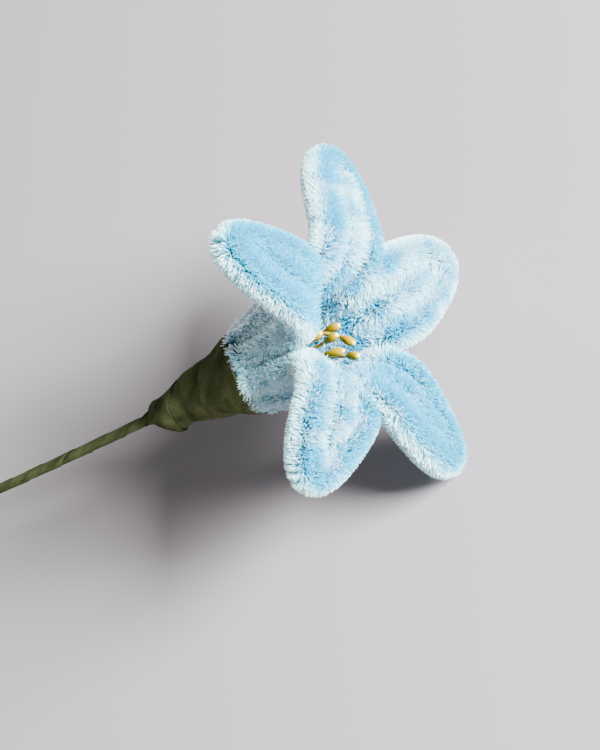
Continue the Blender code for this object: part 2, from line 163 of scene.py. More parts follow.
# %% [markdown]
# Every tree starts and ends alike, so two functions open and close it: one gives it its named inputs, and the
# other gives what it made its material and hands it out.

# %% Open and close a tree
def geometry_tree(name, inputs):
    """A tree for a Geometry Nodes modifier, its named inputs, and its end node."""
    tree = bpy.data.node_groups.new(name, "GeometryNodeTree")
    tree.is_modifier = True
    for label, kind in {"Geometry": "Geometry", **inputs}.items():
        tree.interface.new_socket(label, in_out="INPUT", socket_type="NodeSocket" + kind)
    tree.interface.new_socket("Geometry", in_out="OUTPUT", socket_type="NodeSocketGeometry")
    return tree, tree.nodes.new("NodeGroupInput").outputs, tree.nodes.new("NodeGroupOutput")


def close_tree(tree, realized, material, end):
    """Gives the realized geometry its material, as the tree's result."""
    made = add(tree, "GeometryNodeSetMaterial", {"Geometry": realized, "Material": material})
    set_inputs(tree, end, {"Geometry": made})
    print("nodes in the whole tree:", len(tree.nodes))


print("trees so far:", len(bpy.data.node_groups))

# %% [markdown]
# A tree works on the object that wears it as a modifier. Here that object is a path: a mesh of bare points
# and edges, with a value at each point. The tree's result is then frozen to a plain mesh, because an
# exported model keeps meshes only. The path itself is thrown away.

# %% Paths in, plain meshes out
def new_object(name, data):
    """An object in the scene, at the origin."""
    made = bpy.data.objects.new(name, data)
    bpy.context.scene.collection.objects.link(made)
    return made


def path_object(name, points, values):
    """A path of points and edges, with named values at its points."""
    mesh = bpy.data.meshes.new(name)
    mesh.from_pydata([tuple(point) for point in points], [(i, i + 1) for i in range(len(points) - 1)], [])
    for label, numbers in values.items():
        mesh.attributes.new(label, "FLOAT_VECTOR", "POINT").data.foreach_set("vector", np.ravel(numbers))
    return new_object(name, mesh)


def grown(name, path, tree, inputs, thickness=0.0):
    """The plain mesh object that a tree makes from a path, as a shell if thickness is given."""
    modifier = path.modifiers.new("Grow", "NODES")
    modifier.node_group = tree
    for item in tree.interface.items_tree:
        if item.in_out == "INPUT" and item.name in inputs:
            modifier[item.identifier] = inputs[item.name]
    if thickness:
        path.modifiers.new("Shell", "SOLIDIFY").thickness = thickness
    graph = bpy.context.evaluated_depsgraph_get()
    mesh = bpy.data.meshes.new_from_object(
        path.evaluated_get(graph), preserve_all_data_layers=True, depsgraph=graph)
    bpy.data.objects.remove(path)
    mesh.name = name
    return new_object(name, mesh)


def keep(piece, node):
    """Parents a finished piece to the part's body, so it moves with the part, and hides the frame's node it
    replaces.
    """
    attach(piece, "root")
    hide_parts(node)
    triangles = sum(len(face.vertices) - 2 for face in piece.data.polygons)
    print(piece.name, "has", triangles, "triangles")


# %% [markdown]
# The calyx is wound from tape over the petals' feet. Its outline is a cone with a soft belly, and its rim
# climbs on one side, where the last turn of tape ends. The petals need these formulas too, because the
# tape squeezes their pile.

# %% The calyx's outline
CALYX_PROFILE = (
    (-24.6, 1.05), (-22.5, 1.5), (-21.3, 2.5), (-18.0, 3.2), (-13.0, 3.9),
    (-10.0, 4.5), (-5.0, 5.5), (0.0, 7.1), (8.0, 9.3),
)
CALYX_WALL = 0.6
RIM_LIFT = 5.0
RIM_LIFT_AZIMUTH = math.radians(-30)
RIM_LIFT_SHARPNESS = 1.5
RIM_LIFT_FOOT = -11.0


def calyx_outer(height):
    """The cone's outer radius at a height."""
    heights, radii = zip(*CALYX_PROFILE)
    return np.interp(height, heights, radii)


def rim_lift(azimuth):
    """How far the rim stands above x = 0."""
    return RIM_LIFT * ((1 + np.cos(azimuth - RIM_LIFT_AZIMUTH)) / 2) ** RIM_LIFT_SHARPNESS


print("rim, from lowest to highest, mm:", 0, "to", float(rim_lift(RIM_LIFT_AZIMUTH)))

# %% [markdown]
# Each petal is one chenille stem folded at the petal's tip, with a shorter one between its two legs. The
# legs run side by side up the bell, bend outwards and spread into a blade. A petal is described by a few
# angles and lengths, and the rest follows from formulas, so that all five are alike but none is a copy.
# The last values are for its pile: how pale its legs and its middle strand are, how much they are ruffled,
# how far a leg's crest is stroked apart, and how its fringe gathers into tufts round the tip.

# %% The petals' sizes
@dataclass
class Petal:
    """One folded stem of chenille. Angles are in degrees, lengths in millimetres."""
    number: int
    turn: float
    lean: float
    base: float
    flare: float
    bend_at: float
    length: float
    half_width: float
    tip: float
    tone: float = 0.0
    filler_tone: float = 0.0
    ruffle: float = 1.0
    parting: float = 0.0
    tuft_span: float = 1.2
    tuft_pull: float = 0.35


PETALS = (
    Petal(1, turn=5, lean=1, base=14, flare=96, bend_at=25.0, length=40.2, half_width=4.3, tip=14.5,
          tone=-0.8, filler_tone=-0.3, parting=1.2),
    Petal(2, turn=12, lean=4.5, base=20, flare=106, bend_at=25.5, length=45.1, half_width=4.5, tip=11.5,
          tone=0.1, filler_tone=0.6),
    Petal(3, turn=-3, lean=-4.4, base=22, flare=81, bend_at=24.5, length=39.4, half_width=5.6, tip=15.5,
          tone=0.4, filler_tone=0.55, ruffle=2.4),
    Petal(4, turn=2, lean=1, base=18, flare=90, bend_at=24.5, length=40.1, half_width=4.2, tip=11.0,
          tone=-0.25, filler_tone=-0.05),
    Petal(5, turn=-17, lean=5, base=15, flare=113, bend_at=22.5, length=37.3, half_width=5.7, tip=17.0,
          tone=0.15, filler_tone=0.5, tuft_span=2.4, tuft_pull=0.45),
)
PETAL_STEP = 72.0
RING_RADIUS = 4.85
BELL_ANGLE = 13.0
BELL_SPAN = (5.0, 10.0)
BEND_LENGTH = 11.0
TURN_SPAN = (12.0, 27.0)
LEAN_START = 18.0
print("petals:", len(PETALS), "of", min(p.length for p in PETALS), "to", max(p.length for p in PETALS), "mm")

# %% [markdown]
# A petal's middle line starts on the rim's ring, runs up the bell at a small slope and then bends
# outwards. Its slope is given along its length, and adding up small steps turns slope into a line.

# %% The petals' middle lines
LINE_STEPS = 400


def petal_azimuth(petal):
    """The petal's place round the axis, in degrees."""
    return PETAL_STEP * (petal.number - 1)


def bell_line(petal, distance):
    """Height, radius, azimuth and slope of a petal's middle line at distances from the rim."""
    fine = np.linspace(0, petal.length, LINE_STEPS)
    bend_start = petal.bend_at - BEND_LENGTH / 2
    slope = petal.base + (BELL_ANGLE - petal.base) * smooth(fine, *BELL_SPAN)
    slope = slope + (petal.flare - BELL_ANGLE) * smooth(fine, bend_start, bend_start + BEND_LENGTH)
    slope = np.radians(slope)
    middle = (slope[1:] + slope[:-1]) / 2
    height = np.concatenate([[0], np.cumsum(np.cos(middle) * fine[1])])
    radius = RING_RADIUS + np.concatenate([[0], np.cumsum(np.sin(middle) * fine[1])])
    lean = petal.lean * smooth(fine, LEAN_START, petal.length)
    turn = petal_azimuth(petal) + petal.turn * smooth(fine, *TURN_SPAN) + lean
    values = (height, radius, np.radians(turn), slope)
    return [np.interp(distance, fine, value) for value in values]


print("petal 1 bends from", round(np.degrees(bell_line(PETALS[0], 0)[3])), "to",
      round(np.degrees(bell_line(PETALS[0], PETALS[0].length)[3])), "degrees")

# %% [markdown]
# The two legs lie to the sides of that line, on a surface that the petal's curve sweeps round the axis.
# They start close together, widen with the bell, run along the blade and meet round the tip in half an
# ellipse. They also stand a little inwards off the surface, so the petal is hollow like a spoon.

# %% The legs' centre lines
SPREAD, SPREAD_GAIN, SPREAD_SPAN = 18.0, 4.0, (0.0, 10.0)
BLADE_SPAN = (12.0, 30.0)
THROAT_WIDENING = 0.4
THROAT_OPENS, THROAT_CLOSES = (16.0, 24.0), (26.0, 36.0)
SIDE_FOLD, SIDE_FOLD_SPAN = 0.6, (14.0, 28.0)


def half_width(petal, distance, radius):
    """How far each leg lies from the petal's middle line."""
    end = np.clip((distance - petal.length + petal.tip) / petal.tip, 0, 1)
    spread = np.radians(SPREAD + SPREAD_GAIN * smooth(distance, *SPREAD_SPAN))
    blade = smooth(distance, *BLADE_SPAN)
    throat = THROAT_WIDENING * smooth(distance, *THROAT_OPENS) * (1 - smooth(distance, *THROAT_CLOSES))
    width = radius * np.sin(spread) * (1 - blade) + petal.half_width * blade + throat
    return width * np.sqrt(1 - end ** 2)


def off_surface(line, rise, turn):
    """Points that stand off the bell's surface by rise, to its inner side, and turned aside."""
    height, radius, azimuth, slope = line
    return polar(height + np.sin(slope) * rise, radius - np.cos(slope) * rise, azimuth + turn)


def leg_line(petal, side, distance):
    """A leg's centre line above the rim."""
    line = bell_line(petal, distance)
    turn = side * half_width(petal, distance, line[1]) / line[1]
    return off_surface(line, SIDE_FOLD * smooth(distance, *SIDE_FOLD_SPAN), turn)


for petal in PETALS:
    print("petal", petal.number, "tip at, mm:", np.round(leg_line(petal, 1, petal.length), 1))

# %% [markdown]
# Below the rim the ten legs stand in one ring inside the tape. A folded stem is one path: up one leg, round
# the tip and down the other. Round the tip the points are spaced by angle, so that the fold is as smooth as
# the legs.

# %% The folded stems, from tail to tail
TAIL_END, UNDER_RIM = -12.5, -0.5
GAP = 0.2
TAIL_POINTS, STRAIGHT_POINTS, TIP_POINTS = 16, 40, 28


def leg_tail(petal, side, heights):
    """A leg's centre line in the calyx."""
    half_step = math.radians(SPREAD)
    room = calyx_outer(heights) - CALYX_WALL - GAP
    rim_room = calyx_outer(0.0) - CALYX_WALL - GAP
    return polar(heights, RING_RADIUS * room / rim_room, math.radians(petal_azimuth(petal)) + side * half_step)


def folded_path(petal):
    """The folded stem: its points in millimetres, and their distances from the rim."""
    tail = np.linspace(TAIL_END, UNDER_RIM, TAIL_POINTS)
    straight = np.linspace(0, petal.length - petal.tip, STRAIGHT_POINTS)[:-1]
    tip = petal.length - petal.tip * (1 - np.sin(np.linspace(0, math.pi / 2, TIP_POINTS)))
    free = np.concatenate([straight, tip])
    legs = [np.concatenate([leg_tail(petal, side, tail), leg_line(petal, side, free)]) for side in (-1, 1)]
    distance = np.concatenate([tail, free])
    return np.concatenate([legs[0], legs[1][-2::-1]]), np.concatenate([distance, distance[-2::-1]])


lengths = [np.linalg.norm(np.diff(folded_path(petal)[0], axis=0), axis=1).sum() for petal in PETALS]
print("folded stems, mm:", np.round(lengths, 1))

# %% [markdown]
# The five middle strands stand inside that ring. Each climbs to its petal's surface and follows its middle
# line, a little off it, and ends short of the tip, where the two legs leave it no room.

# %% The middle strands
FILLER_TAIL_END, FILLER_TAIL_RADIUS = -4.0, 2.1
FILLER_RADIUS_RIM = 2.4
FILLER_RISE, FILLER_JOINS = 0.7, 9.0
FILLER_SHORT, FILLER_TUFT = 0.5, 2.0
FILLER_TAIL_POINTS, FILLER_POINTS = 8, 60


def filler_path(petal):
    """The middle strand: it leaves the calyx's middle and joins the petal. Points and distances."""
    tail = np.linspace(FILLER_TAIL_END, UNDER_RIM, FILLER_TAIL_POINTS)
    free = np.linspace(0, petal.length - FILLER_SHORT * petal.tip + FILLER_TUFT, FILLER_POINTS)
    inset = RING_RADIUS - FILLER_RADIUS_RIM - FILLER_RISE
    rise = FILLER_RISE + inset * (1 - smooth(free, 0, FILLER_JOINS))
    radius = np.interp(tail, (FILLER_TAIL_END, 0.0), (FILLER_TAIL_RADIUS, FILLER_RADIUS_RIM))
    points = np.concatenate([
        polar(tail, radius, math.radians(petal_azimuth(petal))),
        off_surface(bell_line(petal, free), rise, 0.0),
    ])
    return points, np.concatenate([tail, free])


print("a middle strand's points:", len(filler_path(PETALS[0])[0]))

# %% [markdown]
# Chenille is a bottle brush: thousands of short fibres caught between two twisted wires, cut to one
# length. A soft bump map would not show its fringe, and hair curves are lost on export, so every fibre
# is a mesh: a slim closed sliver of four triangles. Geometry Nodes stand one on each of thousands of
# random places along the wire. Points counted along the wire spread evenly, and a random angle turns
# each of them round it.

# %% The tree that grows the pile: places along the wire
pile, given, pile_end = geometry_tree("Chenille pile", {
    "Fibres per metre": "Float", "Fibre width": "Float", "Wire radius": "Float", "Tuft trim": "Float",
    "Edge calm": "Float", "Inner reach": "Float", "Stray": "Float", "Sway scale": "Float",
    "Table": "Float", "Seed": "Int", "Material": "Material",
})


def at_random(offset, low=0.0, high=1.0):
    """A random number for every fibre. The offset tells one use of the pile's seed from another."""
    seed = add(pile, MATH, (given["Seed"], offset), operation="ADD")
    return add(pile, "FunctionNodeRandomValue", {2: low, 3: high, "Seed": seed}, data_type="FLOAT")


def sampled(tree, path, name, place):
    """What the path holds at a distance along it, and how it runs there."""
    value = add(tree, RECALL, {"Name": name}, data_type="FLOAT_VECTOR")
    return add(tree, "GeometryNodeSampleCurve", {"Curves": path, "Value": value, "Length": place},
               mode="LENGTH", data_type="FLOAT_VECTOR").outputs


path = add(pile, "GeometryNodeMeshToCurve", {"Mesh": given["Geometry"]})
length = add(pile, "GeometryNodeCurveLength", {"Curve": path})
count = add(pile, MATH, (length, given["Fibres per metre"]), operation="MULTIPLY")
points = add(pile, "GeometryNodePoints", {"Count": count})
order = add(pile, MATH, (add(pile, "GeometryNodeInputIndex"), at_random(1)), operation="ADD")
share = add(pile, MATH, (order, count), operation="DIVIDE")
place = add(pile, MATH, (share, length), operation="MULTIPLY")
angle = at_random(2, 0.0, math.tau)
print("nodes so far:", len(pile.nodes))

# %% [markdown]
# The path holds, at each of its points, how the pile behaves there. "face" is the way that the petal faces.
# A fibre that stands up from the petal's face is on the strand's crest, and one that lies in the petal's
# plane is on its flank. On a folded strand the flanks differ too: the inner one rubs on its neighbours, and
# the outer one is the petal's clean fringe. Both are cosines: facing is 1 on the crest and -1 at the back,
# and inner is 1 on the inner flank and -1 on the outer one.

# %% Crest and flanks
face = sampled(pile, path, "face", place)
out = add(pile, "ShaderNodeVectorRotate", {"Vector": face["Normal"], "Center": (0, 0, 0),
          "Axis": face["Tangent"], "Angle": angle}, rotation_type="AXIS_ANGLE")
inward = add(pile, VECTOR_MATH, (face["Tangent"], face["Value"]), operation="CROSS_PRODUCT")
facing = add(pile, VECTOR_MATH, (out, face["Value"]), operation="DOT_PRODUCT")
inner = add(pile, VECTOR_MATH, (out, inward), operation="DOT_PRODUCT")
print("nodes so far:", len(pile.nodes))

# %% [markdown]
# The fibres of one twist of the wires draw together into a tuft, so each fibre's tip is pulled along the
# wire, towards the middle of its own twist. On a tight fold those tufts fan out with gaps between them.
# Every tip also leans a little round the wire, because without that the fibres stand in ranks like a comb's
# teeth.

# %% Where each fibre leaves the wire, and how the tips gather
LEAN = 0.3

here = sampled(pile, path, "pile", place)
reach, fullness, ruffle = add(pile, SPLIT, (here["Value"],)).outputs
turns, pull, opening = add(pile, SPLIT, (sampled(pile, path, "twist", place)["Value"],)).outputs
lift = add(pile, VECTOR_MATH, {0: out, "Scale": given["Wire radius"]}, operation="SCALE")
root = add(pile, VECTOR_MATH, (here["Position"], lift), operation="ADD")

uneven = add(pile, NOISE, {"Vector": here["Position"], "Scale": given["Sway scale"], "Detail": 0.0})
phase = add(pile, MATH, (angle, 1 / math.tau, turns), operation="MULTIPLY_ADD")
phase = add(pile, MATH, (phase, uneven), operation="ADD")
within = add(pile, MATH, (phase,), operation="FRACT")
off = add(pile, MATH, (0.5, within), operation="SUBTRACT")
tip_place = add(pile, MATH, (off, pull, place), operation="MULTIPLY_ADD")
there = add(pile, "GeometryNodeSampleCurve", {"Curves": path, "Length": tip_place}, mode="LENGTH").outputs
lean = add(pile, MATH, (angle, at_random(9, -LEAN, LEAN)), operation="ADD")
tip_out = add(pile, "ShaderNodeVectorRotate", {"Vector": there["Normal"], "Center": (0, 0, 0),
              "Axis": there["Tangent"], "Angle": lean}, rotation_type="AXIS_ANGLE")
arm = add(pile, VECTOR_MATH, {0: tip_out, "Scale": reach}, operation="SCALE")
tip = add(pile, VECTOR_MATH, (there["Position"], arm), operation="ADD")
print("nodes so far:", len(pile.nodes))

# %% [markdown]
# A slow noise makes neighbours sway alike, as pressed pile does, but the clean fringe hardly sways. Away from
# the fringe each fibre also strays along the wire by itself. Where the pile was stroked apart, the crest's
# fibres part to both sides and the wire shows. All three move a fibre's tip, one after the other.

# %% Sway, stray and part
SWAY_ENDS, STRAY_ENDS, CREST_ENDS = (0.1, -0.7), (-0.8, -0.1), (0.6, 0.95)

swirl = add(pile, NOISE, {"Vector": tip, "Scale": given["Sway scale"], "Detail": 1.0})
swirl = add(pile, VECTOR_MATH, (swirl.outputs["Color"], (0.5, 0.5, 0.5)), operation="SUBTRACT")
outer = add(pile, MAP_RANGE, (inner, *SWAY_ENDS))
calm = add(pile, MATH, (outer, given["Edge calm"]), operation="MULTIPLY")
calm = add(pile, MATH, (1.0, calm), operation="SUBTRACT")
sway = add(pile, MATH, (ruffle, calm), operation="MULTIPLY")
stray = add(pile, MAP_RANGE, (inner, *STRAY_ENDS, 0.0, given["Stray"]))
for factor in (ruffle, at_random(8, -1.0, 1.0)):
    stray = add(pile, MATH, (stray, factor), operation="MULTIPLY")
part = add(pile, MATH, (inner,), operation="SIGN")
for factor in (opening, add(pile, MAP_RANGE, (facing, *CREST_ENDS))):
    part = add(pile, MATH, (part, factor), operation="MULTIPLY")
for way, amount in ((swirl, sway), (here["Tangent"], stray), (inward, part)):
    move = add(pile, VECTOR_MATH, {0: way, "Scale": amount}, operation="SCALE")
    tip = add(pile, VECTOR_MATH, (tip, move), operation="ADD")
print("nodes so far:", len(pile.nodes))

# %% [markdown]
# The fibres are cut to one length, or nearly. Those at a tuft's ends are bent the most, so they end a little
# lower. On the inner flank they are longer, and close the gap to the strand beside it. So a fibre is the way
# from its root to its tip, brought to length.

# %% How long each fibre is
EVEN_CUT, INNER_CUT, INNER_ENDS = (0.93, 1.0), (0.7, 1.0), (0.0, 0.6)

aim = add(pile, VECTOR_MATH, (tip, root), operation="SUBTRACT")
aim = add(pile, VECTOR_MATH, (aim,), operation="NORMALIZE")
trim = add(pile, MATH, (off,), operation="ABSOLUTE")
trim = add(pile, MATH, (trim, given["Tuft trim"]), operation="MULTIPLY")
trim = add(pile, MATH, (at_random(3, *EVEN_CUT), trim), operation="SUBTRACT")
longer = add(pile, MATH, (given["Inner reach"], at_random(7, *INNER_CUT)), operation="MULTIPLY")
longer = add(pile, MAP_RANGE, (inner, *INNER_ENDS, 1.0, longer))
trim = add(pile, MATH, (trim, longer), operation="MULTIPLY")
free = add(pile, MATH, (reach, given["Wire radius"]), operation="SUBTRACT")
free = add(pile, MATH, (free, trim), operation="MULTIPLY")
aim = add(pile, VECTOR_MATH, {0: aim, "Scale": free}, operation="SCALE")
print("nodes so far:", len(pile.nodes))

# %% [markdown]
# The flower lies on a table. Where a fibre would go through it, the fibre is cut short just above it. The
# way to the tip is scaled by the share that fits: the root's height over how far the fibre drops.

# %% Cut the fibres at the table
LEAST_DROP = 1e-6

height = add(pile, SPLIT, (root,)).outputs["Z"]
rise = add(pile, SPLIT, (aim,)).outputs["Z"]
room = add(pile, MATH, (height, given["Table"]), operation="SUBTRACT")
drop = add(pile, MATH, (rise, -1.0), operation="MULTIPLY")
drop = add(pile, MATH, (drop, LEAST_DROP), operation="MAXIMUM")
share = add(pile, MATH, (room, drop), operation="DIVIDE", use_clamp=True)
aim = add(pile, VECTOR_MATH, {0: aim, "Scale": share}, operation="SCALE")
print("nodes so far:", len(pile.nodes))

# %% [markdown]
# The real pile is one colour, but it doesn't look so. Who looks down on a strand's crest sees dye behind dye
# in the pile's depth, a strong blue, and who sees the fibres from the side sees them almost white, as light
# glances off them and shines through. That look is painted into the colour: each fibre holds a paleness, low
# on the crest as painted shade of the deep pile, higher on the inner flank and nearly full on the clean fringe
# as painted sheen. On the petals' backs, which lie in shade, it is raised to a middle paleness, as painted
# light. Slow clumps and a small random share break it up, and each strand has a tone of its own.

# %% How pale each fibre is
# Painted light: shade on the crest, sheen on the flanks and fringe, a lift on the shaded backs.
CREST_SHADE_PALENESS, INNER_SHEEN_PALENESS, OUTER_SHEEN_PALENESS, BACK_LIT_PALENESS = -0.25, 0.5, 0.95, 0.55
FLANK_ENDS, RIDGE_ENDS, BACK_ENDS = (-0.9, -0.3), (0.35, 0.9), (-0.1, -0.6)
CLUMP_SHARE, CLUMP_ENDS, CLUMP_DEPTH, SPECKLE = 0.4, (0.35, 0.65), 0.35, 0.1
FIRST_COLUMN, LAST_COLUMN = 0.01, 0.99

tone = add(pile, SPLIT, (sampled(pile, path, "tone", place)["Value"],))
ridge = add(pile, MATH, (tone, CREST_SHADE_PALENESS), operation="ADD")
flank = add(pile, MATH, (tone, INNER_SHEEN_PALENESS), operation="ADD")
flank = add(pile, MAP_RANGE, (inner, *FLANK_ENDS, OUTER_SHEEN_PALENESS, flank))
pale = add(pile, MAP_RANGE, (facing, *RIDGE_ENDS, flank, ridge))
pale = add(pile, MAP_RANGE, (facing, *BACK_ENDS, pale, BACK_LIT_PALENESS))
size = add(pile, MATH, (given["Sway scale"], CLUMP_SHARE), operation="MULTIPLY")
clump = add(pile, NOISE, {"Vector": root, "Scale": size, "Detail": 2.0})
clump = add(pile, MAP_RANGE, (clump, *CLUMP_ENDS, -CLUMP_DEPTH, CLUMP_DEPTH))
for change in (clump, at_random(5, -SPECKLE, SPECKLE)):
    pale = add(pile, MATH, (pale, change), operation="ADD")
column = add(pile, MAP_RANGE, (pale, 0.0, 1.0, FIRST_COLUMN, LAST_COLUMN))
print("nodes so far:", len(pile.nodes))

# %% [markdown]
# The values are worked out for every point, but the slivers are put in place later, in another part of the
# tree. So the points hold them as named values till then. Inside the tape nobody sees the pile, and there
# most of the fibres are left out.

# %% Hold the values, and thin the fibres out where they are hidden
spare = add(pile, "FunctionNodeCompare", (at_random(4), fullness), operation="GREATER_THAN")
held = {"aim": (aim, "FLOAT_VECTOR"), "spare": (spare, "BOOLEAN"), "column": (column, "FLOAT")}
for name, (value, kind) in held.items():
    points = add(pile, STORE, {"Geometry": points, "Name": name, "Value": value}, data_type=kind)
points = add(pile, "GeometryNodeSetPosition", {"Geometry": points, "Position": root})
spare = add(pile, RECALL, {"Name": "spare"}, data_type="BOOLEAN")
points = add(pile, "GeometryNodeDeleteGeometry", {"Geometry": points, "Selection": spare})
print("nodes so far:", len(pile.nodes))

# %% [markdown]
# The smallest closed solid has four corners. Here two of them make a narrow edge at the root, and two
# make an edge at the tip, crosswise to the first. Such a sliver is as thick at its tip as at its root,
# so the fringe ends as crisply as if it was cut with scissors. Before it is copied the sliver writes down
# its own upward and sideways places, for the fibre's map.

# %% Make one sliver
ROOT_WIDTH = 1.6
MAP_SLANT, MAP_TOP = 0.02, 0.98

corner = add(pile, "GeometryNodeInputIndex")
upper = add(pile, MATH, (corner, 1.5), operation="GREATER_THAN")
lower = add(pile, MATH, (1.0, upper), operation="SUBTRACT")
odd = add(pile, MATH, (corner, 2.0), operation="MODULO")
side = add(pile, MATH, (odd, 0.5), operation="SUBTRACT")
x = add(pile, MATH, (side, lower), operation="MULTIPLY")
x = add(pile, MATH, (x, ROOT_WIDTH), operation="MULTIPLY")
y = add(pile, MATH, (side, upper), operation="MULTIPLY")
corners = add(pile, JOIN, (x, y, upper))
sliver = add(pile, "GeometryNodeMeshCone", {"Vertices": 3, "Radius Top": 0.0}, fill_type="NGON")
sliver = add(pile, "GeometryNodeSetPosition", {"Geometry": sliver, "Position": corners})
x, y, z = add(pile, SPLIT, (add(pile, "GeometryNodeInputPosition"),)).outputs
up = add(pile, MATH, (y, MAP_SLANT, z), operation="MULTIPLY_ADD")
up = add(pile, MATH, (up, MAP_TOP), operation="MULTIPLY")
across = add(pile, MATH, (x, y), operation="ADD")
for name, value in (("across", across), ("up", up)):
    sliver = add(pile, STORE, {"Geometry": sliver, "Name": name, "Value": value}, data_type="FLOAT")
print("nodes so far:", len(pile.nodes))

# %% [markdown]
# Now a copy of the sliver stands on each point, turned to the way that the point holds and spun at random.
# What the fibres hold then becomes their map: every fibre gets a thin column of it, further along it the
# paler the fibre is, and goes up it from root to tip.

# %% Stand a sliver on every point, and map it
MAP_COLUMN = 0.004

aim = add(pile, RECALL, {"Name": "aim"}, data_type="FLOAT_VECTOR")
turned = add(pile, "FunctionNodeAlignRotationToVector", {"Vector": aim}, axis="Z")
spin = add(pile, "FunctionNodeAxisAngleToRotation",
           {"Axis": (0, 0, 1), "Angle": at_random(6, 0.0, math.tau)})
turned = add(pile, "FunctionNodeRotateRotation", {"Rotation": turned, "Rotate By": spin},
             rotation_space="LOCAL")
length = add(pile, VECTOR_MATH, (aim,), operation="LENGTH")
size = add(pile, JOIN, (given["Fibre width"], given["Fibre width"], length))
copies = add(pile, "GeometryNodeInstanceOnPoints",
             {"Points": points, "Instance": sliver, "Rotation": turned, "Scale": size})
fibres = add(pile, "GeometryNodeRealizeInstances", {"Geometry": copies})
across, column, up = (
    add(pile, RECALL, {"Name": name}, data_type="FLOAT") for name in ("across", "column", "up"))
u = add(pile, MATH, (across, MAP_COLUMN, column), operation="MULTIPLY_ADD")
fibres = add(pile, STORE, {"Geometry": fibres, "Name": "OFBake", "Value": add(pile, JOIN, (u, up))},
             data_type="FLOAT2", domain="CORNER")
for name in ("aim", "spare", "column", "across", "up"):
    fibres = add(pile, "GeometryNodeRemoveAttribute", {"Geometry": fibres, "Name": name})
close_tree(pile, fibres, given["Material"], pile_end)

# %% [markdown]
# The pile is cut polyester fibre, dyed sky blue: matt, soft and faintly see-through to the eye. The map has
# two colour ramps from root to tip, one for crests and one for flanks, and a fibre's paleness mixes them. The
# crest ramp's deep blue is painted shade of the deep pile, and the flank ramp's near white is painted sheen.
# Both ramps are darker at the root, as painted shade, and paler at the tip, as painted light that shines
# through the fibres' ends.
# The colours hold hardly any red, because a bright blue loses its strength in the renderer's film-like
# tones. Dye takes unevenly, so a fine noise gives each column of the map a shade of its own. Light passes
# through such a thin fibre, and the shader's subsurface part stands for that.

# %% The finish of the pile
# Painted shade in the crest ramp and at the roots, painted sheen in the flank ramp and at the tips.
CREST_SHADE_COLOURS = ((0.0, "#007098"), (0.55, "#0080AE"), (1.0, "#0092C4"))
FLANK_SHEEN_COLOURS = ((0.0, "#5CC6E6"), (0.55, "#86E2F8"), (1.0, "#C2FBFF"))
SHADES, SHADE_ENDS, SHADE_RANGE = 400.0, (0.3, 0.7), (0.9, 1.02)
LIGHT_REACH = 0.5


def new_finish(name):
    """A new material, its tree and its shader."""
    look = bpy.data.materials.new(name)
    look.use_nodes = True
    print("finish:", name)
    return look, look.node_tree, look.node_tree.nodes["Principled BSDF"]


def set_ramp(ramp, colours):
    """Gives a colour ramp its stops, each a place and a hex colour."""
    stops = ramp.color_ramp.elements
    while len(stops) < len(colours):
        stops.new(0.5)
    for stop, (place, code) in zip(stops, colours):
        stop.position = place
        stop.color = colour(code)


pile_look, tree, shader = new_finish("dyed polyester chenille")
u, v, _ = add(tree, SPLIT, (add(tree, "ShaderNodeUVMap", uv_map="OFBake"),)).outputs
crests, flanks = (add(tree, "ShaderNodeValToRGB", (v,)) for _ in range(2))
set_ramp(crests, CREST_SHADE_COLOURS)
set_ramp(flanks, FLANK_SHEEN_COLOURS)
# The mix is the dye's blue with painted shade and painted sheen in it.
dyed = add(tree, "ShaderNodeMix", {0: u, 6: crests, 7: flanks}, data_type="RGBA")
shade = add(tree, NOISE, {"W": u, "Scale": SHADES, "Detail": 0.0}, noise_dimensions="1D")
shade = add(tree, MAP_RANGE, (shade, *SHADE_ENDS, *SHADE_RANGE))
tinted = add(tree, VECTOR_MATH, {0: dyed.outputs[2], "Scale": shade}, operation="SCALE")
set_inputs(tree, shader, {
    "Base Color": tinted, "Roughness": 0.6, "Specular IOR Level": 0.04, "Subsurface Weight": 0.8,
    "Subsurface Radius": (1, 1, 1), "Subsurface Scale": LIGHT_REACH * MM,
})

# %% [markdown]
# How far the pile stands out changes along a strand. In the tape it is squeezed to what the tape leaves
# it, and it wells out over the tape's rim. In the bell it is half open, and in the blade it is free. In
# the throat the strands press on each other, so their fibres are ruffled more than those of the blade.

# %% How the pile stands along a strand
PILE_AT_RIM, PILE_IN_BELL, PILE_IN_BLADE = 1.6, 0.5, 1.0
PILE_BELL_SPAN, PILE_BLADE_SPAN = (0.0, 10.0), (10.0, 24.0)
PILE_OVER_RIM, OVER_RIM_AT, OVER_RIM_LENGTH = 0.9, 0.8, 1.1
TAPE_DIP, FREED_SPAN = 0.35, (-0.4, 0.6)
DOME_DEPTH = 0.7
LEAST_FULLNESS, FULL_SPAN = 0.35, (-2.5, 0)
SWAY, SWAY_IN_THROAT = 1.1, 1.6
SWAY_RISES, SWAY_FALLS = (4, 12), (20, 28)
HELD_SWAY, HELD_SPAN = 0.5, (0, 4)


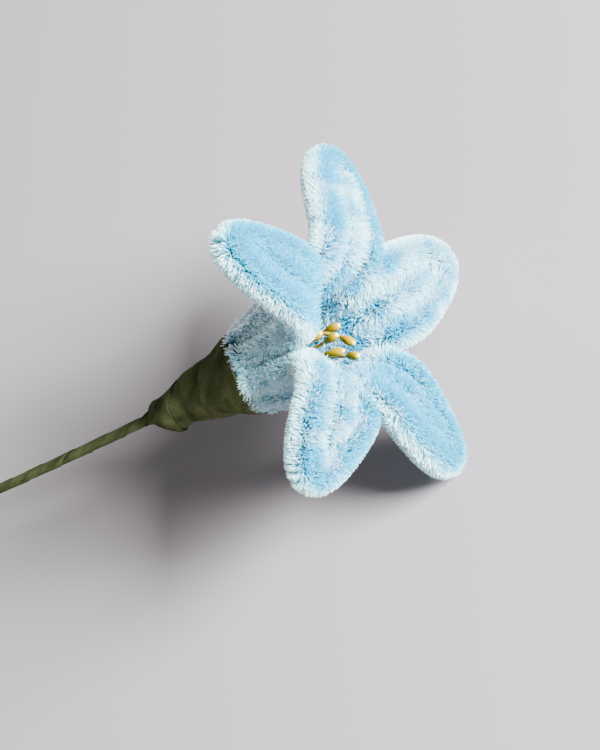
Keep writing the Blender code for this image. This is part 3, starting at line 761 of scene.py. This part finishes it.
def pile_values(points, distance, dome, ruffle):
    """The pile's reach in metres, its fullness and its sway in metres. A dome rounds off the path's end."""
    reach = PILE_AT_RIM + PILE_IN_BELL * smooth(distance, *PILE_BELL_SPAN)
    reach = reach + PILE_IN_BLADE * smooth(distance, *PILE_BLADE_SPAN)
    height, out = points[:, 0], np.hypot(points[:, 1], points[:, 2])
    above = height - rim_lift(np.arctan2(points[:, 1], points[:, 2]))
    held = calyx_outer(height) - CALYX_WALL - TAPE_DIP - out
    reach = reach + PILE_OVER_RIM * np.exp(-((above - OVER_RIM_AT) / OVER_RIM_LENGTH) ** 2)
    freed = smooth(above, *FREED_SPAN)
    reach = reach * freed + np.minimum(reach, held) * (1 - freed)
    if dome:
        reach = reach * np.sqrt(1 - DOME_DEPTH * np.clip((distance - distance[-1]) / dome + 1, 0, 1) ** 2)
    fullness = LEAST_FULLNESS + (1 - LEAST_FULLNESS) * smooth(above, *FULL_SPAN)
    throat = smooth(distance, *SWAY_RISES) * (1 - smooth(distance, *SWAY_FALLS))
    held = HELD_SWAY + (1 - HELD_SWAY) * smooth(above, *HELD_SPAN)
    sway = (ruffle * SWAY * (1 - throat) + SWAY_IN_THROAT * throat) * held
    return np.stack([reach * MM, fullness, sway * MM], 1)


print("the pile is freed over, mm:", FREED_SPAN)

# %% [markdown]
# The wire's twists are short, but round a petal's tip the tufts gather into larger ones, and on one leg the
# pile is stroked apart. A strand also knows its tone and the way that its petal faces. In the throat the tone
# is the same pale one for all strands: painted light, which stands in for the light that the fibres scatter
# into the throat's shade.

# %% Twists, tones and faces along a strand
TWIST, TWIST_AT_TIP = 0.55, 1.0
TUFT_PULL = 0.08
# The throat's pale tone is painted light in the throat's shade.
THROAT_PAINTED_LIGHT, THROAT_TONE_SPAN = 0.5, (20, 27)


def twist_values(petal, points, at_tip, parting):
    """The turns of the wires so far, and in metres how far tips are pulled and the crest parts."""
    step = np.linalg.norm(np.diff(points, axis=0), axis=1)
    length = TWIST + (TWIST_AT_TIP - TWIST) * at_tip
    turns = np.concatenate([[0], np.cumsum(step * 2 / (length[1:] + length[:-1]))])
    pull = (TUFT_PULL + (petal.tuft_pull - TUFT_PULL) * at_tip) * length
    return np.stack([turns, pull * MM, parting * MM], 1)


def tone_values(tone, distance):
    """How much paler a strand is than the plain pile, along its way, with painted light in the throat."""
    throat = 1 - smooth(distance, *THROAT_TONE_SPAN)
    tone = tone + (THROAT_PAINTED_LIGHT - tone) * throat
    return np.stack([tone, 0 * tone, 0 * tone], 1)


def face_values(petal, points, distance):
    """The way that the petal faces along a strand."""
    slope = bell_line(petal, np.maximum(distance, 0))[3]
    inside = polar(np.sin(slope), -np.cos(slope), np.arctan2(points[:, 1], points[:, 2]))
    return (in_world(inside) - in_world([0, 0, 0])) / MM


print("a twist of the wires, mm:", TWIST, "and round a tip", TWIST_AT_TIP)

# %% [markdown]
# A real fibre is about 0.02 mm thick, and a millimetre of chenille holds well over a thousand. Neither
# would show in the picture, so the fibres are drawn some six times coarser and fewer. A strand's path and
# values now go through the tree, and the result stands for the frame's plain pile.

# %% Grow the pile of each petal
FIBRE_WIDTH = 0.12
FIBRES_PER_MM = 330
CORE_RADIUS = 0.28
TUFT_TRIM = 0.06
TUFTED_PART = 6
SWAY_SIZE = 1.3
EDGE_CALM = 0.85
INNER_REACH = 1.45
STRAY = 0.8
PARTING_SPAN = (22.0, 27.0)
PARTING_STOPS = (5, 2)
TABLE_CLEARANCE = 0.05
PETAL_SEED, FILLER_SEED = 100, 50


def grow_pile(name, path, petal, dome, seed, node):
    """A strand's pile, in place of the frame's plain one."""
    points, distance = path
    at_tip = smooth(distance, petal.length - petal.tuft_span, petal.length - petal.tuft_span / TUFTED_PART)
    first_leg = np.arange(len(points)) < len(points) / 2
    stop = smooth(distance, *(petal.length - stop for stop in PARTING_STOPS))
    stroked = smooth(distance, *PARTING_SPAN) * (1 - stop)
    values = {
        "pile": pile_values(points, distance, dome, petal.ruffle),
        "twist": twist_values(petal, points, at_tip, petal.parting * stroked * first_leg * (not dome)),
        "face": face_values(petal, points, distance),
        "tone": tone_values(petal.filler_tone if dome else petal.tone, distance),
    }
    piece = grown(name, path_object(name + "_path", in_world(points), values), pile, {
        "Fibres per metre": FIBRES_PER_MM / MM, "Fibre width": FIBRE_WIDTH * MM, "Tuft trim": TUFT_TRIM,
        "Edge calm": 0.0 if dome else EDGE_CALM, "Wire radius": CORE_RADIUS * MM,
        "Inner reach": INNER_REACH, "Stray": STRAY, "Sway scale": 1 / (SWAY_SIZE * MM),
        "Table": TABLE_CLEARANCE * MM, "Seed": seed, "Material": pile_look,
    })
    keep(piece, node)


for petal in PETALS:
    name, seed = f"petal_{petal.number}", PETAL_SEED * petal.number
    grow_pile(name + "_fibres", folded_path(petal), petal, 0, seed, name + "_pile")
    grow_pile(name + "_filler_fibres", filler_path(petal), petal, FILLER_TUFT, seed + FILLER_SEED,
              name + "_filler_pile")

# %% [markdown]
# The frame's wires stay as they are and only need their finish: drawn steel, dipped in zinc. To the eye
# that is a pale grey metal, neither bright nor dull, because zinc sets in small crystals that shine
# differently. On so fine a wire they are about 0.4 mm wide, and one noise gives their grey and their shine.

# %% Steel for the wires
SPANGLES_PER_MM = 2.5
ZINC_DARK, ZINC_LIGHT = "#7E8287", "#A4A8AC"
ZINC_SHINE = (0.3, 0.55)

steel, tree, shader = new_finish("galvanised steel wire")
where = add(tree, "ShaderNodeTexCoord").outputs["Object"]
spangle = add(tree, NOISE, {"Vector": where, "Scale": SPANGLES_PER_MM / MM, "Detail": 2.0})
zinc = add(tree, "ShaderNodeMix", {0: spangle, 6: colour(ZINC_DARK), 7: colour(ZINC_LIGHT)}, data_type="RGBA")
shine = add(tree, MAP_RANGE, (spangle, 0.0, 1.0, *ZINC_SHINE))
set_inputs(tree, shader, {"Base Color": zinc.outputs[2], "Roughness": shine, "Metallic": 1.0})
for name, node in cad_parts.items():
    if name.endswith("wire"):
        for slot in node.material_slots:
            slot.material = steel
        print(name, "is steel")

# %% [markdown]
# Florist's tape is a ribbon of waxed crepe paper. It is pulled tight and wound in a screw line, from the
# petals' feet down to the stem's end, so each turn covers part of the turn above it. A ribbon that
# really laps gives the lap lines for free. The tree starts from a flat grid, and works out how far round the
# path each of its points is wound, and between which places on the path the ribbon's two edges run there.
# At the path's ends the ribbon is squeezed, so it ends in a straight cut.

# %% The tree that winds tape: places on the ribbon
RIBBON_LENGTH = 0.998
POINTS_ACROSS = 11

tape, given, tape_end = geometry_tree("Wound tape", {
    "Width": "Float", "Pitch": "Float", "Girth": "Float", "Side": "Vector",
    "Steps": "Float", "Material": "Material",
})
path = add(tape, "GeometryNodeMeshToCurve", {"Mesh": given["Geometry"]})
length = add(tape, "GeometryNodeCurveLength", {"Curve": path})
run = add(tape, MATH, (length, given["Width"]), operation="ADD")
turns = add(tape, MATH, (run, given["Pitch"]), operation="DIVIDE")
steps = add(tape, MATH, (turns, given["Steps"]), operation="MULTIPLY")
ribbon = add(tape, "GeometryNodeMeshGrid", (RIBBON_LENGTH, 1.0, steps, POINTS_ACROSS))
flat = add(tape, SPLIT, (add(tape, "GeometryNodeInputPosition"),)).outputs
along, across = (add(tape, MATH, (flat[side], 0.5), operation="ADD") for side in ("X", "Y"))
turn = add(tape, MATH, (along, turns), operation="MULTIPLY")
head = add(tape, MATH, (turn, given["Pitch"]), operation="MULTIPLY")
tail = add(tape, MATH, (head, given["Width"]), operation="SUBTRACT")
low = add(tape, MATH, (tail, 0.0), operation="MAXIMUM")
high = add(tape, MATH, (head, length), operation="MINIMUM")
place = add(tape, MAP_RANGE, (across, 0.0, 1.0, low, high))
print("nodes so far:", len(tape.nodes))

# %% [markdown]
# The path's points hold its radius there and how far a turn's outer edge stands out from it. A point of the
# ribbon stands off the path by that, on the side that its turn has come to. The ribbon's map is in
# millimetres, along it and across it.

# %% The tree that winds tape: off the path by its radius
here = sampled(tape, path, "tape size", place)
radius, stand_out, _ = add(tape, SPLIT, (here["Value"],)).outputs
share = add(tape, MATH, (place, tail), operation="SUBTRACT")
share = add(tape, MATH, (share, given["Width"]), operation="DIVIDE")
radius = add(tape, MATH, (share, stand_out, radius), operation="MULTIPLY_ADD")
angle = add(tape, MATH, (turn, math.tau), operation="MULTIPLY")
angle = add(tape, MATH, (angle, -1.0), operation="MULTIPLY")
out = add(tape, "ShaderNodeVectorRotate", {"Vector": given["Side"], "Center": (0, 0, 0),
          "Axis": here["Tangent"], "Angle": angle}, rotation_type="AXIS_ANGLE")
arm = add(tape, VECTOR_MATH, {0: out, "Scale": radius}, operation="SCALE")
position = add(tape, VECTOR_MATH, (here["Position"], arm), operation="ADD")
u = add(tape, MATH, (turn, given["Girth"]), operation="MULTIPLY")
v = add(tape, MATH, (share, given["Width"]), operation="MULTIPLY")
uv = add(tape, VECTOR_MATH, {0: add(tape, JOIN, (u, v)), "Scale": 1 / MM}, operation="SCALE")
made = add(tape, STORE, {"Geometry": ribbon, "Name": "tape", "Value": uv}, data_type="FLOAT2", domain="CORNER")
made = add(tape, "GeometryNodeSetPosition", {"Geometry": made, "Position": position})
made = add(tape, "GeometryNodeFlipFaces", {"Mesh": made})
made = add(tape, "GeometryNodeRealizeInstances", {"Geometry": made})
close_tree(tape, made, given["Material"], tape_end)

# %% [markdown]
# The tape's look is dull olive paper. Its wax has soaked in, and its wrinkles are so close that the shader's
# specular level is zero. Even a trace of it turns so dark a paper grey where light grazes the stem. The
# crepe's wrinkles are drawn at their real size, some 0.3 mm apart: close together along the ribbon and long
# across it. A slow noise mottles the green between a dark and a lighter shade. This is partly the wax, uneven
# where fingers pressed it, and partly painted sheen: the lighter patches stand in for the wax's soft shine,
# which the shader leaves out.

# %% The finish of the tape
# The lighter green is partly pressed wax and partly painted sheen.
TAPE_DARK, TAPE_WAX_AND_SHEEN = "#171D10", "#474E35"
WRINKLES_PER_MM, WRINKLE_STRETCH, WRINKLE_DEPTH = 3.2, 0.12, 0.3
MOTTLES_PER_MM, MOTTLE_ENDS = 0.3, (0.2, 0.8)

tape_look, tree, shader = new_finish("waxed crepe paper tape")
where = add(tree, "ShaderNodeUVMap", uv_map="tape")
squeezed = add(tree, "ShaderNodeMapping", {"Vector": where, "Scale": (1, WRINKLE_STRETCH, 1)})
wrinkle = add(tree, NOISE, {"Vector": squeezed, "Scale": WRINKLES_PER_MM, "Detail": 3.0})
bump = add(tree, "ShaderNodeBump", {"Height": wrinkle, "Strength": 1.0, "Distance": WRINKLE_DEPTH * MM})
mottle = add(tree, NOISE, {"Vector": where, "Scale": MOTTLES_PER_MM, "Detail": 2.0})
mottle = add(tree, MAP_RANGE, (mottle, *MOTTLE_ENDS))
green = add(tree, "ShaderNodeMix", {0: mottle, 6: colour(TAPE_DARK), 7: colour(TAPE_WAX_AND_SHEEN)}, data_type="RGBA")
set_inputs(tree, shader, {
    "Base Color": green.outputs[2], "Normal": bump, "Roughness": 0.8, "Specular IOR Level": 0.0,
})

# %% [markdown]
# The calyx is wound in the bloom's own frame, where its axis is straight. Its laps are thick at its foot and
# pressed flat at its belly. It is wound with half-inch tape, a common width.

# %% Wind the calyx
TAPE_WIDTH, TAPE_THICKNESS = 12.7, 0.1
CALYX_PITCH, CALYX_GIRTH, CALYX_STEPS = 7.7, 25.0, 72.0
CALYX_LAP, LAP_SUNK = 0.45, 0.75
LAP_PRESSED, LAP_PRESSED_SPAN = 0.88, (-14, -10)
CALYX_START_AZIMUTH = math.radians(255)
CALYX_POINTS = 60

heights = np.linspace(CALYX_PROFILE[0][0], 0, CALYX_POINTS)
lap = CALYX_LAP * (1 - LAP_PRESSED * smooth(heights, *LAP_PRESSED_SPAN))
sizes = np.stack([calyx_outer(heights) - lap * LAP_SUNK, lap, 0 * lap], 1) * MM
path = path_object("calyx_path", polar(heights, 0, 0) * MM, {"tape size": sizes})
calyx = grown("calyx_wound_tape", path, tape, {
    "Width": TAPE_WIDTH * MM, "Pitch": CALYX_PITCH * MM, "Girth": CALYX_GIRTH * MM,
    "Side": tuple(polar(0, 1, CALYX_START_AZIMUTH)), "Steps": CALYX_STEPS, "Material": tape_look,
}, TAPE_THICKNESS * MM)
print("the wound calyx has", len(calyx.data.vertices), "points")

# %% [markdown]
# The wound cone is then pulled to shape as the fingers do it: its rim is drawn up on one side, a knuckle
# stands out where the petals' cut feet end, and the paper gathers into soft facets. Only then is it laid
# down with the bloom.

# %% Pull the calyx to shape
KNUCKLE, KNUCKLE_HEIGHT, KNUCKLE_LENGTH = 1.0, -18.0, 2.5
KNUCKLE_AZIMUTH = math.radians(234)
FACET_DEPTH, FACET_SIZE, FACETS_PAST = 0.75, 4.0, 1.5
PAPER_EDGE = 40


def set_smooth(piece, angle=PAPER_EDGE):
    """Shades a piece smoothly, but keeps the edges of its cuts sharp."""
    piece.data.shade_smooth()
    piece.data.set_sharp_from_angle(angle=math.radians(angle))


def pull_calyx(mesh):
    """Draws up the rim, and adds the knuckle and the facets, in the bloom's frame."""
    for vertex in mesh.vertices:
        height = vertex.co.x / MM
        azimuth = math.atan2(vertex.co.y, vertex.co.z)
        radius = math.hypot(vertex.co.y, vertex.co.z) / MM
        lifted = height + float(rim_lift(azimuth) * smooth(height, RIM_LIFT_FOOT, 0))
        grown_by = float(calyx_outer(lifted) - calyx_outer(height))
        towards = max(0.0, math.cos(azimuth - KNUCKLE_AZIMUTH)) ** 2
        knuckle = KNUCKLE * math.exp(-((height - KNUCKLE_HEIGHT) / KNUCKLE_LENGTH) ** 2) * towards
        facet = FACET_DEPTH * noise.noise(vertex.co / (FACET_SIZE * MM))
        facet *= min(1.0, max(0.0, radius - FACETS_PAST))
        radius += grown_by + knuckle + facet
        vertex.co = polar(lifted, radius, azimuth) * MM


pull_calyx(calyx.data)
calyx.data.transform(bloom)
set_smooth(calyx)
keep(calyx, "calyx_tape")

# %% [markdown]
# The stem leaves the calyx along the flower's axis, bends gently down to the table and runs along it. Its
# tape is wound at a longer pitch than the calyx's. The path starts at the far end, because the tree
# wants the petals' side last, so that each turn's edge lies open towards the petals.

# %% Wind the stem
STEM_LENGTH = 255.0
NECK_HEIGHT = -22.5
STEM_TAPE_RADIUS = 1.0
STEM_TAPE_TOP = -14.6
STEM_TAPE_BASE, STEM_TAPE_THICKNESS = 0.8, 0.05
STEM_PITCH, STEM_GIRTH, STEM_STEPS = 9.0, 6.3, 24.0
STEM_POINTS = 200


def stem_path(count):
    """The stem's middle line from its far end up into the calyx, in millimetres of the scene."""
    neck = rim_centre / MM + axis * NECK_HEIGHT
    bend_radius = (neck[2] - STEM_TAPE_RADIUS) / (1 - math.cos(TILT))
    centre = neck + bend_radius * np.array([-math.sin(TILT), 0, math.cos(TILT)])
    points = []
    for distance in np.linspace(STEM_LENGTH, NECK_HEIGHT - STEM_TAPE_TOP, count):
        angle = TILT - distance / bend_radius
        if distance < 0:
            points.append(neck - axis * distance)
        elif angle > 0:
            points.append(centre + bend_radius * np.array([math.sin(angle), 0, -math.cos(angle)]))
        else:
            points.append(np.array([centre[0] + angle * bend_radius, centre[1], STEM_TAPE_RADIUS]))
    return np.array(points)


points = stem_path(STEM_POINTS)
sizes = np.tile([STEM_TAPE_BASE * MM, (STEM_TAPE_RADIUS - STEM_TAPE_BASE) * MM, 0], (len(points), 1))
stem = grown("stem_wound_tape", path_object("stem_path", points * MM, {"tape size": sizes}), tape, {
    "Width": TAPE_WIDTH * MM, "Pitch": STEM_PITCH * MM, "Girth": STEM_GIRTH * MM, "Side": (0, 1, 0),
    "Steps": STEM_STEPS, "Material": tape_look,
}, STEM_TAPE_THICKNESS * MM)
set_smooth(stem)
keep(stem, "stem_tape")

# %% [markdown]
# Craft stamens are sold as short doubled threads with a dipped head on each end. Three of them are folded
# round the wire, which gives six heads. The thread is two-ply cotton, stiff with yellow lacquer, so the
# tree sweeps a cross-section of two lobes along a path and turns it as it goes.

# %% The tree that twists thread
THREAD_STEP = 0.22
LOBES = (1.0, 0.72, 1.0)

twine, given, twine_end = geometry_tree("Twisted thread", {
    "Radius": "Float", "Twist": "Float", "Material": "Material",
})
path = add(twine, "GeometryNodeMeshToCurve", {"Mesh": given["Geometry"]})
path = add(twine, "GeometryNodeResampleCurve", {"Curve": path, "Length": THREAD_STEP * MM}, mode="LENGTH")
along = add(twine, "GeometryNodeSplineParameter").outputs["Length"]
turn = add(twine, MATH, (along, given["Twist"]), operation="DIVIDE")
turn = add(twine, MATH, (turn, math.tau), operation="MULTIPLY")
path = add(twine, "GeometryNodeSetCurveTilt", {"Curve": path, "Tilt": turn})
ring = add(twine, "GeometryNodeCurvePrimitiveCircle", {"Resolution": 12, "Radius": given["Radius"]},
           mode="RADIUS")
lobes = add(twine, VECTOR_MATH, (add(twine, "GeometryNodeInputPosition"), LOBES), operation="MULTIPLY")
ring = add(twine, "GeometryNodeSetPosition", {"Geometry": ring, "Position": lobes})
made = add(twine, "GeometryNodeCurveToMesh", {"Curve": path, "Profile Curve": ring, "Fill Caps": True})
made = add(twine, "GeometryNodeRealizeInstances", {"Geometry": made})
close_tree(twine, made, given["Material"], twine_end)

# %% [markdown]
# The threads are cotton soaked in yellow lacquer: a dull golden yellow, uneven where the lacquer dried, with a
# fine fuzz that only a bump shows. The heads are dipped in the same lacquer until it stands in a drop. It
# dries hard and smooth, so they have small clear highlights. The heads' colour turns paler at the very tip.

# %% Lacquered cotton and lacquer
SOAKED_DARK, SOAKED_LIGHT, BLOTCHES_PER_MM = "#806400", "#A08418", 1.0
FUZZ_PER_MM, FUZZ_DEPTH = 8.0, 0.05
DROP_COLOURS = ((0.3, "#6A5600"), (0.94, "#786400"), (1.0, "#C8B468"))

thread_look, tree, shader = new_finish("lacquered cotton thread")
where = add(tree, "ShaderNodeTexCoord").outputs["Object"]
soaked = add(tree, NOISE, {"Vector": where, "Scale": BLOTCHES_PER_MM / MM, "Detail": 1.0})
soaked = add(tree, "ShaderNodeMix", {0: soaked, 6: colour(SOAKED_DARK), 7: colour(SOAKED_LIGHT)},
             data_type="RGBA")
fuzz = add(tree, NOISE, {"Vector": where, "Scale": FUZZ_PER_MM / MM, "Detail": 1.0})
bump = add(tree, "ShaderNodeBump", {"Height": fuzz, "Strength": 0.5, "Distance": FUZZ_DEPTH * MM})
set_inputs(tree, shader, {"Base Color": soaked.outputs[2], "Normal": bump, "Roughness": 0.5})

pip_look, tree, shader = new_finish("yellow lacquer")
where = add(tree, SPLIT, (add(tree, "ShaderNodeUVMap", uv_map="pip"),))
drop = add(tree, "ShaderNodeValToRGB", (where.outputs["Y"],))
set_ramp(drop, DROP_COLOURS)
set_inputs(tree, shader, {"Base Color": drop, "Roughness": 0.15, "Specular IOR Level": 0.07})

# %% [markdown]
# A stamen is described by where its thread leaves the fold and by where its head's tip stands. The six heads
# stand where the throat shows them, each leaning its own way.

# %% The stamens' sizes
@dataclass
class Stamen:
    """One end of a doubled thread. Angles are in degrees, lengths in millimetres."""
    foot_azimuth: float
    azimuth: float
    radius: float
    height: float
    lean: float
    lean_azimuth: float


STAMEN_PAIRS = (
    (Stamen(60, 280, 1.2, 21.5, 14, 339), Stamen(120, 138, 4.5, 18.8, 7, 305)),
    (Stamen(180, 226, 3.3, 22.9, 37, 266), Stamen(240, 231, 5.3, 22.8, 25, 294)),
    (Stamen(300, 273, 4.7, 23.0, 12, 229), Stamen(360, 346, 1.4, 19.1, 9, 13)),
)
HEAD_LENGTH = 4.0


def head_ends(stamen):
    """The base and the tip of a head, in the bloom's frame."""
    lean = math.radians(stamen.lean)
    along = polar(math.cos(lean), math.sin(lean), math.radians(stamen.lean_azimuth))
    tip = polar(stamen.height, stamen.radius, math.radians(stamen.azimuth))
    return tip - along * HEAD_LENGTH, tip


print("stamens:", 2 * len(STAMEN_PAIRS))

# %% [markdown]
# A thread runs straight up from its fold, then leans over to its head in one smooth curve. The curve is a
# Bezier: its ends pull along the thread and along the head, so there is no kink. Two such curves and the
# fold between them are one path, and the tree twists a doubled thread along it.

# %% The threads
THREAD_RADIUS, THREAD_TWIST = 0.34, 1.1
THREAD_RING, THREAD_FOLD, THREAD_FREE = 0.95, -6.0, 2.0
FOLD_DEPTH, FOLD_RING = 0.45, 1.03
CURVE_PULL, CURVE_POINTS = 2.2, 24
HEAD_SEAT = 0.15
THREAD_EDGE = 60


def thread_path(stamen):
    """From the fold in the calyx up to the head's base."""
    azimuth = math.radians(stamen.foot_azimuth)
    foot = polar(THREAD_FOLD, THREAD_RING, azimuth)
    free = polar(THREAD_FREE, THREAD_RING, azimuth)
    base, tip = head_ends(stamen)
    ahead = (tip - base) / np.linalg.norm(tip - base)
    end = base - ahead * HEAD_SEAT
    reach = (end[0] - free[0]) / CURVE_PULL
    pull = free + np.array([reach, 0, 0])
    push = end - ahead * reach
    t = np.linspace(0, 1, CURVE_POINTS)[:, None]
    curve = (1 - t) ** 3 * free + 3 * (1 - t) ** 2 * t * pull + 3 * (1 - t) * t ** 2 * push + t ** 3 * end
    return np.concatenate([foot[None], curve])


def make_thread(name, pair):
    """The doubled thread between a pair of heads."""
    middle = math.radians((pair[0].foot_azimuth + pair[1].foot_azimuth) / 2)
    fold = polar(THREAD_FOLD - FOLD_DEPTH, THREAD_RING * FOLD_RING, middle)[None]
    points = np.concatenate([thread_path(pair[0])[::-1], fold, thread_path(pair[1])])
    thread = grown(name, path_object(name + "_path", in_world(points), {}), twine, {
        "Radius": THREAD_RADIUS * MM, "Twist": THREAD_TWIST * MM, "Material": thread_look,
    })
    set_smooth(thread, THREAD_EDGE)
    return thread


print("a thread's points, from foot to head:", len(thread_path(STAMEN_PAIRS[0][0])))

# %% [markdown]
# A head is a ball drawn out to a drop, fuller at its tip, a little lumpy as dipped lacquer is. Its map runs
# from foot to tip. Blender's ball has its faces in another order on each run, so they are sorted, ring by
# ring, and the mesh is always the same. Each doubled thread is made with its two heads.

# %% Threads and heads
HEAD_RADIUS, HEAD_TAPER, HEAD_SLIMMING = 0.75, 0.25, 1.1
LUMP_DEPTH, LUMPS = 0.12, 1.4
RINGS_APART = 1000.0


def place_on_ball(face):
    """A number that grows from a ball's foot to its tip, and round each of its rings."""
    middle = face.calc_center_median()
    return RINGS_APART * middle.z + math.atan2(middle.y, middle.x)


def make_pip(name, stamen):
    """A head of lacquer, with a map from its foot to its tip."""
    shape = bmesh.new()
    bmesh.ops.create_uvsphere(shape, u_segments=28, v_segments=20, radius=1.0)
    shape.faces.sort(key=place_on_ball)
    layer = shape.loops.layers.uv.new("pip")
    for face in shape.faces:
        face.smooth = True
        for corner in face.loops:
            place = corner.vert.co
            corner[layer].uv = (math.atan2(place.y, place.x) / math.tau + 0.5, place.z / 2 + 0.5)
    base, tip = (Vector(point) for point in head_ends(stamen))
    for vertex in shape.verts:
        taper = (1 + HEAD_TAPER * vertex.co.z) / HEAD_SLIMMING
        lump = 1 + LUMP_DEPTH * noise.noise(vertex.co * LUMPS + base)
        vertex.co.x *= HEAD_RADIUS * taper * lump
        vertex.co.y *= HEAD_RADIUS * taper * lump
        vertex.co.z *= HEAD_LENGTH / 2
    mesh = bpy.data.meshes.new(name)
    shape.to_mesh(mesh)
    shape.free()
    turned = (tip - base).to_track_quat("Z", "Y").to_matrix().to_4x4()
    mesh.transform(bloom @ Matrix.Scale(MM, 4) @ Matrix.Translation((base + tip) / 2) @ turned)
    mesh.materials.append(pip_look)
    return new_object(name, mesh)


for number, pair in enumerate(STAMEN_PAIRS, start=1):
    keep(make_thread(f"cotton_thread_{number}", pair), f"stamen_thread_{number}")
    for end, stamen in enumerate(pair, start=1):
        order = 2 * number - 2 + end
        keep(make_pip(f"lacquered_pip_{order}", stamen), f"stamen_head_{order}")

# %% [markdown]
# The camera stands where the photographer stood: 30 centimetres from the bloom, off the flower's axis by
# 52 degrees. Its place is given round the flower's axis and then turned with the bloom. The lens's focal
# length is worked out from how many pixels a millimetre of the flower takes.

# %% The camera
CAMERA_DISTANCE = 300.0
CAMERA_OFF_AXIS = math.radians(52)
CAMERA_AZIMUTH = math.radians(-36.4)
CAMERA_ROLL = math.radians(25)
FRAME_WIDTH, FRAME_HEIGHT = 600, 750
PIXELS_PER_MM = 6.0
RIM_PIXEL = (244.4, 373.4)
SENSOR = 36.0

ahead = Vector((1, 0, 0))
side = Vector((0, math.sin(CAMERA_AZIMUTH), math.cos(CAMERA_AZIMUTH)))
back = ahead * math.cos(CAMERA_OFF_AXIS) + side * math.sin(CAMERA_OFF_AXIS)
level = (ahead - back * ahead.dot(back)).normalized()
across = back.cross(level)
right = level * math.cos(CAMERA_ROLL) - across * math.sin(CAMERA_ROLL)
up = level * math.sin(CAMERA_ROLL) + across * math.cos(CAMERA_ROLL)
shift_x = (RIM_PIXEL[0] - FRAME_WIDTH / 2) / PIXELS_PER_MM
shift_y = (FRAME_HEIGHT / 2 - RIM_PIXEL[1]) / PIXELS_PER_MM
eye = (back * CAMERA_DISTANCE - right * shift_x - up * shift_y) * MM
turned = Matrix((right, up, back)).transposed().to_4x4()

camera_data = bpy.data.cameras.new("camera")
camera_data.sensor_fit = "VERTICAL"
camera_data.sensor_height = SENSOR
camera_data.lens = PIXELS_PER_MM * CAMERA_DISTANCE * SENSOR / FRAME_HEIGHT
camera_data.clip_start = 0.01
camera = new_object("camera", camera_data)
camera.matrix_world = bloom @ Matrix.Translation(eye) @ turned
bpy.context.scene.camera = camera
print("lens, mm:", round(camera_data.lens, 1))
print("camera at, m:", [round(c, 3) for c in camera.matrix_world.translation])

# %% [markdown]
# The table is a wide plain sheet, just under the flower. The light is a photographer's: a large soft lamp high
# before the flower, a weak one on the camera's side that opens the shadows, another behind the flower that
# lights the petals' backs, and an even pale sky. The lamps themselves stay out of the picture.

# %% The table and the light
TABLE_SIZE = 3.0
TABLE_PALE = "#6E6B72"
BLOOM_MIDDLE = (18, 0, 0)
SKY_COLOUR, SKY_STRENGTH = "#F0F2F2", 0.34

bpy.ops.mesh.primitive_plane_add(size=TABLE_SIZE, location=(0, 0, 0))
table = bpy.context.active_object
table.name = "table"
table_look, tree, shader = new_finish("matt paper")
set_inputs(tree, shader, {"Base Color": colour(TABLE_PALE), "Roughness": 0.9})
table.data.materials.append(table_look)
table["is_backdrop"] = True


def lamp(name, towards, distance, size, power, tint):
    """A square soft lamp that shines on the bloom from a direction of the scene."""
    data = bpy.data.lights.new(name, "AREA")
    data.size = size
    data.energy = power
    data.color = colour(tint)[:3]
    made = new_object(name, data)
    direction = Vector(towards).normalized()
    made.location = Vector(in_world(BLOOM_MIDDLE)) + direction * distance
    made.rotation_mode = "QUATERNION"
    made.rotation_quaternion = direction.to_track_quat("Z", "Y")
    made.visible_camera = False
    print(name, "stands at, m:", [round(c, 2) for c in made.location])


lamp("key lamp", (0.93, -0.02, 0.36), distance=0.9, size=0.35, power=185.0, tint="#FFFCF4")
lamp("fill lamp", (-0.25, -0.95, 0.2), distance=1.1, size=0.3, power=9.0, tint="#FFEEE0")
lamp("back lamp", (-0.62, 0.78, 0.04), distance=1.2, size=0.4, power=13.0, tint="#FFFFFF")
world = bpy.data.worlds.new("soft sky")
bpy.context.scene.world = world
world.use_nodes = True
sky = world.node_tree.nodes["Background"]
set_inputs(world.node_tree, sky, {"Color": colour(SKY_COLOUR), "Strength": SKY_STRENGTH})

# %% [markdown]
# Last come the measurements: the bounds of the dressed model, without the table.

# %% Measure the sizes
low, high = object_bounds()
